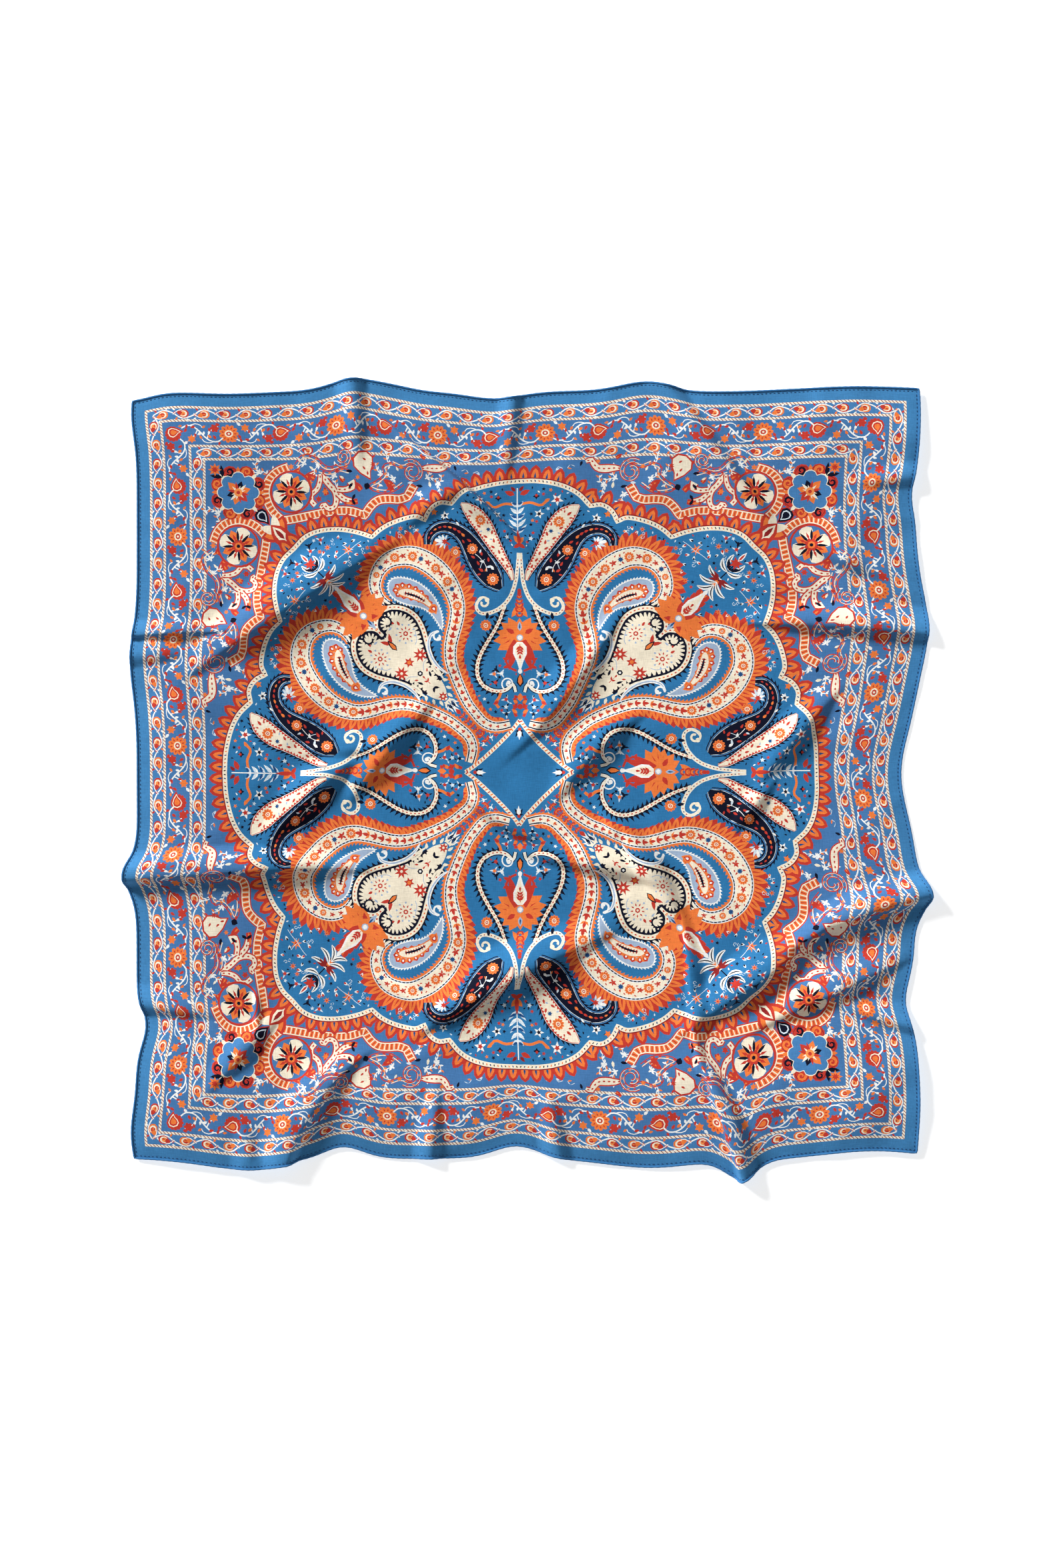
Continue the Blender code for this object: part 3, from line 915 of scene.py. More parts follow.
OUTER_LINES = [
    [(338, 138), (330, 150), (329, 164), (334, 176), (340, 166), (348, 158), (356, 160), (360, 150)],
    [(362, 118), (362, 128), (357, 138), (361, 150)],
    [(362, 262), (372, 254), (368, 240), (356, 226), (357, 210)],
    [(354, 235), (350, 222), (353, 212), (350, 200)],
]
CORNER_SCROLLS = [
    [(366, 76, 3), (368, 82, 5), (363, 85, 6), (358, 90, 7), (357, 99, 8), (357, 108, 6), (356, 116, 2)],
    [(312, 234, 3), (316, 230, 5), (311, 225, 5), (312, 218, 5), (320, 215, 5.5), (330, 217, 5.5),
     (338, 224, 5.5), (345, 229, 5), (350, 233, 3)],
    [(318, 196, 4), (321, 206, 5.5), (328, 214, 5)],
    [(340, 198, 8), (334, 196, 7), (331, 205, 5), (332, 214, 5)],
    [(315, 240, 5), (321, 245, 5), (328, 245, 5), (327, 255, 5)],
    [(328, 244, 5), (334, 237, 5), (343, 234, 4.5), (350, 234, 3)],
    [(346, 250, 6), (349, 246, 5), (352, 240, 3)],
]
CORNER_RED = [
    (318, 190, 100, 12), (330, 186, 40, 12), (336, 150, 60, 12), (345, 240, 60, 12), (356, 258, 120, 12),
    (350, 250, 200, 10), (360, 190, 60, 10), (326, 226, 20, 10), (340, 206, 40, 9), (368, 110, 60, 8),
]
CORNER_FLOWERS = [(333, 152, 6, RED), (322, 236, 4.5, RED), (330, 228, 4, ORANGE), (352, 214, 3.6, RED),
                  (356, 204, 3, ORANGE), (341, 246, 4, ORANGE), (316, 204, 3, RED), (344, 190, 3, ORANGE),
                  (357, 140, 3.4, ORANGE), (366, 90, 3.2, ORANGE), (315, 256, 3, RED), (360, 268, 4, ORANGE)]
CORNER_LEAVES = [(338, 196, 140, 8, NAVY), (314, 193, 30, 8, NAVY), (326, 193, 150, 8, NAVY),
                 (350, 196, 80, 8, NAVY), (335, 115, 80, 8, NAVY), (367, 72, 200, 7, NAVY),
                 (316, 196, 90, 8, ORANGE), (343, 206, 60, 6, CREAM), (352, 143, 30, 6, CREAM),
                 (365, 256, 40, 7, CREAM), (356, 242, 50, 6, CREAM), (346, 224, 100, 6, CREAM),
                 (340, 126, 100, 7, VINE), (334, 106, 10, 8, CREAM), (318, 222, 60, 5, RED)]
SIDE_SPRAY = (
    (80, 15, WHITE), (50, 12, VINE), (110, 12, VINE), (20, 10, WHITE), (140, 10, WHITE),
    (-20, 9, VINE), (180, 9, VINE), (240, 9, RED), (300, 9, NAVY),
)
FILL_INKS = (RED, NAVY, ORANGE, NAVY, WHITE, RED, NAVY, VINE)


def chained(legs: Sequence[Rows], step: float) -> Array:
    """One path through several smooth legs that meet at corners."""
    out = [spline(leg, step)[:-1] for leg in legs]
    return np.vstack(out + [np.array([legs[-1][-1]], float)])


def both_halves(half: Array) -> Array:
    """A path drawn from the axis to the diagonal, carried on to the next axis."""
    return np.vstack([half[:-1], half[::-1][:, ::-1]])


def square_rim(half: float, step: float) -> Array:
    """Places round a square, with each side cut into steps.

    Args:
        half: half of its side.
        step: length of a step, in millimetres.

    Returns:
        An array with one row for each place, the first not repeated.
    """
    corners = [(half, -half), (half, half), (-half, half), (-half, -half), (half, -half)]
    return polyline(corners, step)[:-1]


def medallion_loop() -> Array:
    """The whole outline of the medallion, closed."""
    outline = both_halves(chained(MEDALLION, MEDALLION_STEP))
    return np.vstack([turned(outline[:-1], k * math.pi / 2) for k in range(4)])


@dataclass
class PrintedBorder:
    """Plain edge, dashed lines, two narrow bands and a wide one, all running one way round."""

    drawing: Drawing
    wide_band: float = 401.0
    repeats: int = 13

    def grounds(self) -> None:
        """Grounds of the bands and the dashed lines between them."""
        d = self.drawing
        d.copies = Copies.ONCE
        for half, ink in RINGS:
            d.shape([(half, -half), (half, half), (-half, half), (-half, -half)], ink)

    def narrow_bands(self) -> None:
        """Two rows of small buds on a white wave."""
        d = self.drawing
        d.copies = Copies.TURNED
        for middle, count in NARROW_BANDS:
            pitch = 2 * middle / count
            wave = []
            for k in range(count):
                b = -middle + (k + 0.5) * pitch
                side = 1 if k % 2 else -1
                wave += [(middle + side * 1.0, b - pitch * 0.5), (middle + side * 5.0, b - 2),
                         (middle + side * 4.2, b + 5)]
            wave.append((middle + 1.0, middle))
            d.ribbon(spline(wave, 3.6), 1.5, WHITE)
            for k in range(count):
                b = -middle + (k + 0.5) * pitch
                side = 1 if k % 2 else -1
                body = (ORANGE, CREAM, RED) if k % 2 else (RED, CREAM, AMBER)
                for radius, ink in zip((5.9, 4.5, 3.1), body):
                    d.disc(middle - 0.3 * side, b + 0.4 * (6 - radius), radius, ink, 9, 0.88, 90)
                d.leaves(
                    (middle - 0.3 * side, b + 2.6, 90 + side * 28, 6.4, 4.4, body[0], TONGUE),
                    (middle - 0.8, b - 1.6, 82, 4.2, 1.6, body[0]),
                    (middle + side * 3.6, b + 7.4, 90 - side * 55, 5, 2.6, RED if k % 2 else ORANGE, SLIM),
                    (middle - side * 4.6, b + 9.5, 90 + side * 30, 4.6, 2.2, WHITE, SLIM),
                    (middle + side * 5.4, b - 3, 90 - side * 130, 4.4, 2.0, WHITE, SLIM),
                )
                d.star(middle - side * 1.5, b + 10.6, 2.3, 4, ORANGE if k % 2 else RED)
                d.vine([(middle - side * 5.0, b + 2), (middle - side * 3.8, b + 7.5),
                        (middle + side * 0.5, b + 12.5)], WHITE, 1.0, 3.6)

    def wide_row(self) -> None:
        """Rosettes and commas in turn, in white vines with small leaves."""
        d = self.drawing
        middle = self.wide_band
        pitch = 2 * middle / self.repeats
        for k in range(1, self.repeats + 1):
            b = -middle + k * pitch
            side = 1 if k % 2 else -1

            def spot(across: float, along: float) -> tuple[float, float]:
                """A place in this repeat of the band."""
                return middle + side * across, b - pitch + along

            for rows, width in WIDE_VINES:
                d.vine([spot(*row) for row in rows], WHITE, width, 3.6)
            for n, (across, along, turn, size) in enumerate(WIDE_LEAVES):
                x, y = spot(across, along)
                d.leaf(x, y, 90 - side * turn, size, size * 0.55, WIDE_INKS[n % 4])
            x, y = spot(6.5, 16)
            d.flower(x, y, 5.2, 6, RED, 0.3)
            x, y = spot(-7, 43)
            d.star(x, y, 5.4, 6, ORANGE, 0.6)
            if k % 2:
                d.flower(middle - 1, b + 2.5, 9.4, 13, RED, 0.14)
                d.comma(middle + 3, b - 10, 100, 21, (RED, CREAM, RED, ORANGE), (1.0, 0.74, 0.6, 0.4))
            else:
                d.rosette(middle, b, 11.2, 90)

    def paint(self) -> None:
        """Paint all of it, in order."""
        self.grounds()
        self.narrow_bands()
        self.wide_row()


@dataclass
class CornerOrnament:
    """The corner beyond the medallion: rope frame, scrolls, cartouche and wreath."""

    drawing: Drawing
    cartouche: tuple[float, float] = (331, 268)
    middle: tuple[float, float] = (330, 330)
    scroll_edge: float = 0.8

    def sprays(self) -> None:
        """White vines and small leaves in the ground."""
        d = self.drawing
        d.copies = Copies.MIRRORED
        for k, (x, y, _, _) in enumerate(stations(spline([(357, 8), (356, 40), (360, 62)], 4), 13)):
            d.vine([(x, y), (x + 4, y + 3), (x + 2, y + 8)], VINE, 0.7)
            d.leaf(x, y, 60 + 40 * (k % 2), 5, 2, ORANGE if k % 2 else VINE)
        for x, y, turn, size in CORNER_SPRAYS:
            for bend in (-1, 1):
                rows = placed([(0, 0), (size * 0.42, bend * 1.5), (size * 0.8, bend * 7),
                               (size * 0.72, bend * 13)], x, y, turn)
                path = spline(rows, 3.6)
                d.ribbon(path, np.linspace(1.3, 0.8, len(path)), WHITE)
                for k, (px, py, angle, _) in enumerate(stations(path, 5.4)):
                    d.leaves(
                        (px, py, angle + 48, 5, 2, ORANGE if k % 3 == 1 else WHITE),
                        (px, py, angle - 48, 5, 2, ORANGE if k % 3 == 2 else WHITE),
                    )

    def outer_lines(self) -> None:
        """The lines of scrolls at the outer side."""
        d = self.drawing
        for rows in OUTER_LINES:
            path = spline(rows, 4)
            d.ribbon(path, 4.6, RED)
            d.ribbon(path, 2.4, DUSK)
            d.ribbon(path, 1.0, CREAM, shift=-1.4)
            for k, (x, y, angle, _) in enumerate(stations(path, 8)):
                d.leaf(x, y, angle, 4.4, 2.0, ORANGE if k % 2 else RED)

    def rope(self) -> None:
        """The rope that frames the cartouches."""
        d = self.drawing
        path = chained(SPANDREL_ROPE, 3.6)
        d.ribbon(path, 12.0, RED)
        d.ribbon(path, 9.4, CREAM)
        d.ribbon(path, 6.8, ORANGE)
        for k, (x, y, angle, _) in enumerate(stations(path, 2.7)):
            d.leaf(*placed([(0, -3.5)], x, y, angle)[0], angle + 96, 7.0, 1.3 if k % 2 else 1.2,
                   CREAM if k % 2 else RED, BAR)

    def scrolls(self) -> None:
        """Cream scrolls with their leaves and flowers."""
        d = self.drawing
        for rows in CORNER_SCROLLS:
            path = spline(rows, 3.6)
            d.ribbon(path, path[:, 2] + 2 * self.scroll_edge + 1.2, RED)
            d.ribbon(path, path[:, 2], CREAM)
            for x, y, angle, _ in stations(path, 6.0):
                d.leaf(*placed([(-1.3, 0)], x, y, angle)[0], angle, 3.4, 1.9, RED)
        for x, y, turn, size in CORNER_RED:
            d.leaves(
                (x, y, turn, size, size * 0.5, RED, TONGUE),
                (x, y, turn, size * 0.5, size * 0.2, ORANGE, SLIM),
            )
        for x, y, r, ink in CORNER_FLOWERS:
            d.star(x, y, r, 6, ink, 0.5, x * 11)
        d.scatter(CORNER_LEAVES, 0.42)

    def spirals(self) -> None:
        """Two red spirals."""
        d = self.drawing
        for x, y, r, turns, start in ((352, 127, 13, -1.15, 40), (366, 207, 9, 1.1, 120)):
            path = spiral(x, y, r, turns, start, 0.3, 3)
            d.ribbon(path, 6.4, RED)
            d.ribbon(path, 4.2, CREAM)
            d.ribbon(path, 3.0, DUSK)
            for k, (px, py, angle, _) in enumerate(stations(path, 6.5)):
                d.leaf(px, py, angle, 3.6, 1.7, ORANGE if k % 2 else RED)

    def cream_comma(self) -> None:
        """A cream comma with red stars."""
        d = self.drawing
        d.comma(340, 176, 20, 34, (RED, CREAM), (1.0, 0.86), -1)
        d.star(358, 172, 3.6, 7, RED, 0.5)
        for x, y, turn in ((346, 178, 10), (352, 181, 40), (362, 180, 60), (365, 172, -30), (352, 174, -40)):
            d.leaf(x, y, turn, 5, 2.2, RED)
        d.leaf(338, 178, 160, 8, 7, NAVY)

    def round_flower(self) -> None:
        """The round flower of the cartouche."""
        d = self.drawing
        d.disc(*self.cartouche, 25, RED, 22)
        d.disc(*self.cartouche, 22.5, DUSK, 22)
        d.petals(*self.cartouche, 4, 22, 4, 20, CREAM, 20, DROP * np.array([1, 0.9]))
        d.petals(*self.cartouche, 4, 20, 4, 11, ORANGE, 65, LEAF)
        d.petals(*self.cartouche, 5, 19, 8, 3.2, NAVY, 42.5, LEAF)
        d.petals(*self.cartouche, 7, 16, 4, 3, RED, 20, SLIM)
        d.petals(*self.cartouche, 7, 15, 4, 3.4, RED, 65, SLIM)
        d.flower(*self.cartouche, 8, 8, RED, 0.3)
        d.disc(*self.cartouche, 4.4, ORANGE, 8)
        d.disc(*self.cartouche, 2.2, NAVY, 6)

    def wreath(self) -> None:
        """The palmette and the wreath on the diagonal."""
        d = self.drawing
        d.copies = Copies.TURNED
        for side in (1, -1):
            d.leaves(
                (283, 283, 45 + side * 58, 22, 14, RED, TONGUE),
                (283, 283, 45 + side * 56, 18, 9, ORANGE, TONGUE),
                (286, 286, 45 + side * 34, 20, 9, CREAM, TONGUE),
            )
        d.leaves(
            (272, 272, 45, 30, 18, RED, TONGUE), (274, 274, 45, 24, 11, CREAM), (277, 277, 45, 16, 5, BRICK),
        )
        d.comma(293, 293, 45, 24, (RED, NAVY, VINE, NAVY), (1.0, 0.86, 0.6, 0.45))
        for radius, ink in ((33.5, RED), (31.4, BRICK), (30.4, RED)):
            d.scallop(*self.middle, radius, 8, ink, 0.24, 67.5)
        for k in range(8):
            x, y = placed([(26.5, 0)], *self.middle, 67.5 + k * 45)[0]
            path = spiral(x, y, 5.2, 1.1 if k % 2 else -1.1, 67.5 + k * 45 + 120, 0.25, 2.4)
            d.ribbon(path, np.linspace(3.4, 1.2, len(path)), NAVY if k % 2 else ORANGE)
            x, y = placed([(23, 0)], *self.middle, 90 + k * 45)[0]
            d.leaf(x, y, 90 + k * 45, 8, 4.4, CREAM if k % 2 else ORANGE)
        d.scallop(*self.middle, 25.2, 8, CREAM, 0.2, 45)
        d.scallop(*self.middle, 24, 8, FIELD, 0.2, 45)
        for turn, size, ink in ((0, 17, ORANGE), (62, 14, NAVY), (118, 15, ORANGE), (180, 15, RED)):
            for side in (1, -1) if 0 < turn < 180 else (1,):
                d.leaf(*self.middle, 45 + side * turn, size, size * 0.55, ink)
                d.leaf(*self.middle, 45 + side * turn, size * 0.6, size * 0.18, CREAM, SLIM)
        for turn in (32, 90, 148):
            for side in (1, -1):
                d.leaf(*self.middle, 45 + side * turn, 13, 3.4, CREAM if turn == 90 else RED)
        d.disc(*self.middle, 5, AMBER, 9)
        d.disc(*self.middle, 2.4, RED, 6)
        d.pair(348, 348, 45, 38, 15, 5, NAVY)
        d.star(357, 357, 8, 8, ORANGE, 0.55, 45)
        d.star(357, 357, 4.6, 8, RED, 0.5, 20)

    def paint(self) -> None:
        """Paint all of it, in order."""
        self.sprays()
        self.outer_lines()
        self.rope()
        self.scrolls()
        self.spirals()
        self.cream_comma()
        self.round_flower()
        self.wreath()


@dataclass
class Medallion:
    """The lobed blue shape in the middle, its leafy fringe and its cream band."""

    drawing: Drawing

    def ground(self) -> None:
        """The leafy fringe, and the blue that the outline encloses."""
        d = self.drawing
        half = chained(MEDALLION, MEDALLION_STEP)
        d.copies = Copies.MIRRORED
        out = offset(half, -1.5)
        for part, (reach, wide, ink, form) in enumerate(MEDALLION_FRINGE):
            for x, y, angle, _ in stations(out, 12.6):
                d.leaf(x, y, angle - 90, reach, wide, ink, form)
            if part == 0:
                d.ribbon(offset(half, -3.5), 5.4, RED)
        d.copies = Copies.ONCE
        d.shape(medallion_loop(), GROUND)

    def outline(self) -> None:
        """The cream band that edges the medallion."""
        d = self.drawing
        half = chained(MEDALLION, MEDALLION_STEP)
        d.copies = Copies.MIRRORED
        d.ribbon(half, 6.6, BRICK, shift=-0.6)
        d.ribbon(half, 5.2, CREAM)
        d.dashes(half, 4.4, 2.4, 1.2, (NAVY, STEEL, ORANGE), 25)


@dataclass
class PaisleyField:
    """The middle diamond, the large paisleys and the cream hearts."""

    drawing: Drawing

    def centre(self) -> None:
        """The diamond in the middle with its dashed cream band, buds and diagonal sprigs."""
        d = self.drawing
        d.copies = Copies.TURNED
        edge = spline([(62, 0), (51, 8), (40, 17.5), (28.5, 28.5), (17.5, 40), (8, 51), (0, 62)], 3.5)
        d.ribbon(edge, 4.6, CREAM)
        d.dashes(edge, 4.2, 3.4, 1.5, (RED, ORANGE), 20)
        for turn, ink, size in ((180, WHITE, 12), (150, NAVY, 10), (210, NAVY, 10), (165, WHITE, 9),
                                (195, WHITE, 9), (110, NAVY, 6), (250, NAVY, 6)):
            d.leaf(50, 0, turn, size, size * 0.36, ink, SLIM)
        d.disc(51, 0, 2.2, RED, 6)
        x = 33.0
        d.ribbon(polyline([(x, x), (70, 70)], 6), 1.2, RED)
        for k in range(6):
            at = 37 + k * 5.6
            size = 9.5 - abs(k - 2) * 1.1
            for side in (1, -1):
                d.leaves(
                    (at, at, 45 + side * 52, size, size * 0.55, RED),
                    (at + 0.5, at + 0.5, 45 + side * 50, size * 0.62, size * 0.22, ORANGE, SLIM),
                )
        d.leaf(68, 68, 45, 10, 5, RED)
        d.copies = Copies.MIRRORED
        d.sprig(37, 31, 20, 8, 1, 4, WHITE, CREAM)
        d.sprig(40, 27, 5, 9, 2, 4.4, RED, WHITE)
        d.sprig(44, 44, -4, 7, 1, 4, RED, ORANGE)

    def big_paisley(self) -> None:
        """The large hooked paisley: cream band with leaves, dotted edges, flame fringe."""
        d = self.drawing
        d.copies = Copies.MIRRORED
        path = spline(BIG_PAISLEY, 3.6)
        width = path[:, 2]
        outer = offset(path, -width / 2)
        d.flames(outer[1:-3], 8.2, BIG_FLAMES, -1, 22)
        d.ribbon(path[:-2], (width + 6.4)[:-2], ORANGE, shift=0.6)
        d.teeth(offset(path, width / 2 + 3.4)[2:-4], 4.6, [1.6, 2.4, 3, 3, 2.4], ORANGE, 1)
        d.lined(path, width, ((3.2, WHITE), (1.4, NAVY), (-1.4, WHITE), (-3.0, CREAM)))
        for side in (1, -1):
            d.dashes(offset(path, side * width / 2)[4:-3], 4.6, 1.3, 1.5, (SKY,))
        # the running leaf down the stem, then flowers and sprigs in the head
        stem = path[(path[:, 0] < 190) & (path[:, 1] < 100)]
        for k, (x, y, angle, at) in enumerate(stations(stem, 8.6)):
            size = 3.0 + 4.2 * at
            d.leaf(x, y, angle, size * 1.3, size * 0.6, RED)
            d.pair(x, y, angle, 48, size, size * 0.42, RED if k % 3 else ORANGE, SLIM)
        head = path[(path[:, 0] >= 190)]
        rows = list(stations(head[:-4], 10.5))
        for k, (x, y, angle, at) in enumerate(rows):
            kind = k % 5
            if kind in (0, 3) and at < 0.8:
                d.rosette(x, y, 5.8 if at < 0.7 else 4)
            elif kind == 2 and at < 0.75:
                d.star(x, y, 3.6, 8, STEEL, 0.6)
                for side in (1, -1):
                    d.leaf(*placed([(0, side * 3)], x, y, angle)[0], angle + side * 60, 4, 2, RED)
            else:
                size = 5.4 * (1 - 0.45 * at)
                d.leaf(x, y, angle, size * 1.3, size * 0.6, RED)
                for turn in (130, 50, -50, -130):
                    d.leaf(x, y, angle + turn, size, size * 0.45, RED)
            if at < 0.75:
                for side in (1, -1):
                    place = placed([(5.2, side * 5.2)], x, y, angle)[0]
                    d.leaf(place[0], place[1], angle + side * 20, 3.4, 1.5, RED)

    def heart(self) -> None:
        """The cream double paisley on the diagonal, filled with plain flowers and leaves."""
        d = self.drawing
        d.copies = Copies.TURNED
        half = spline(HEART_EDGE, 3.4)
        ground = np.vstack([half[:-1], [(157, 157)], half[::-1][:, ::-1]])
        d.shape(ground, CREAM)
        d.copies = Copies.MIRRORED
        band = half[6:]
        outside = offset(band, -5.6)
        d.teeth(outside[4:-3], 6.2, [4, 5.6, 6.2, 5.6, 3.4], NAVY, -1)
        d.teeth(band[1:-1], 5.6, [4.6, 6.2, 7.4, 7.4, 6.2], NAVY, 1, 0.1)
        d.ribbon(band[1:], 3.4, NAVY, shift=0.4)
        d.ribbon(offset(band, -5.8)[2:-1], 2.4, NAVY)
        wide = np.interp(np.arange(len(band)), [0, 8, len(band) - 8, len(band) - 1], [1.0, 5.2, 5.2, 2.4])
        middle = offset(band, -3.0)
        d.ribbon(middle, wide, CREAM)
        d.dashes(middle[5:-2], 4.8, 1.5, 2.2, (RED, ORANGE))
        tail = spline([(118, 88, 1), (114, 92, 2), (118, 98, 2.6), (126, 103, 3)], 3)
        d.ribbon(tail, tail[:, 2], CREAM)
        # frilled tail end
        for x, y, turn, size in ((88, 82, 200, 9), (93, 84, 235, 8), (101, 86, 250, 8), (109, 90, 265, 7),
                                 (85, 84, 170, 10)):
            d.leaf(x, y, turn, size, 3.6, CREAM)
        for turn, size, ink in ((205, 16, WHITE), (232, 13, WHITE), (262, 9, WHITE), (220, 11, NAVY)):
            d.leaves((84, 80, turn, size, 3.6, ink, SLIM), (84, 80, turn, size * 0.6, 1.2, STEEL, SLIM))
        # flowers of the ground
        d.star(138, 116, 9, 8, RED, 0.45, 20)
        d.disc(138, 116, 1.8, CREAM, 6)
        d.petals(163, 133, 4.6, 8.6, 9, 1.8, RED)
        d.petals(163, 133, 9, 12, 9, 5, SKY, 20, DROP * np.array([1, 0.5]))
        d.disc(163, 133, 3.0, RED, 7)
        d.disc(163, 133, 1.5, CREAM, 5)
        d.leaves((172, 140, 30, 6, 3, RED), (174, 146, 80, 5, 2.4, RED), (170, 149, 140, 6, 2.2, SKY))
        d.vine([(118, 112), (128, 112), (134, 108)], SKY, 0.7)
        d.vine([(150, 122), (156, 120), (166, 122)], SKY, 0.7)
        d.leaves((112, 103, 20, 8, 2.8, NAVY), (118, 108, 0, 5, 2, RED))
        curl = spiral(175, 155, 7.5, -0.7, 60, 0.5)
        d.ribbon(curl, 2.0, NAVY)
        d.teeth(curl, 2.8, 2.6, NAVY, 1)
        d.copies = Copies.TURNED
        for side in (1, -1):
            d.leaves((150, 150, 45 + side * 34, 13, 4.5, RED), (100, 100, 225 + side * 40, 7, 3, NAVY))
        d.leaves((143, 143, 45, 16, 6.5, NAVY), (144, 144, 45, 12, 4, ORANGE))
        d.star(129, 129, 6.5, 6, RED, 0.5, 45)
        d.disc(129, 129, 2.4, ORANGE, 6)
        d.disc(116, 116, 3.4, NAVY, 6)
        d.disc(116, 116, 1.6, WHITE, 5)
        d.sprig(104, 104, 45, 8, 1, 5, RED, RED)
        d.star(89, 89, 6, 7, RED, 0.5)
        d.disc(89, 89, 1.7, CREAM, 5)

    def teardrop(self) -> None:
        """The pale teardrop inside the hook, with scallops round a combed core."""
        d = self.drawing
        d.copies = Copies.MIRRORED
        loop = spline(TEARDROP, 3.4)
        d.teeth(loop[1:-1], 3.6, 2.0, WHITE, -1)
        d.shape(loop[:-1], WHITE)
        d.shape(offset(loop, 1.0)[1:-1], SKY)
        edge = spline([(188, 97), (200, 101), (211, 109), (219.5, 121), (223, 134), (221, 144), (213, 148),
                       (205, 143), (202, 131), (199, 117), (194, 106)], 3.0)
        for x, y, angle, at in stations(edge, 8.6):
            d.leaves((x, y, angle + 90, 8.8, 8.4, ORANGE, LEAF), (x, y, angle + 90, 7.0, 5.2, RED, LEAF))
            d.leaf(*placed([(2.2, 0)], x, y, angle + 90)[0], angle + 90, 3.6, 2.2, WHITE)
        fill = spline([(191, 100, 2), (199, 107, 5), (206, 117, 8.5), (210, 128, 10), (211, 137, 7),
                       (211, 141, 2)], 3)
        d.lined(fill, fill[:, 2], ((2.4, ORANGE), (0.0, CREAM)))
        core = spline([(201, 110, 1), (206, 119, 2.6), (209, 128, 3), (210, 134, 1)], 3)
        for side in (1, -1):
            d.teeth(core, 3.2, 3.0, RED, side, 0.2)
        d.ribbon(core, core[:, 2] * 0.8, NAVY)
        d.comma(186, 96.5, 28, 13, (ORANGE, RED, WHITE), (1.0, 0.6, 0.3))
        # its thin stalk and spiral
        stalk = spline([(116, 83, 1), (120, 90, 3), (128, 98, 4), (140, 104.5, 4), (152, 106.5, 4),
                        (162, 103, 3.6), (166, 95, 3)], 3)
        d.lined(stalk, stalk[:, 2], ((0.0, WHITE), (-2.4, SKY)))
        curl = spiral(159.5, 95, 6.6, 0.95, -10, 0.25)
        d.ribbon(curl, 2.2, WHITE)
        d.disc(157, 94, 2.6, WHITE)

    def paint(self) -> None:
        """Paint all of it, in order."""
        self.centre()
        self.big_paisley()
        self.heart()
        self.teardrop()


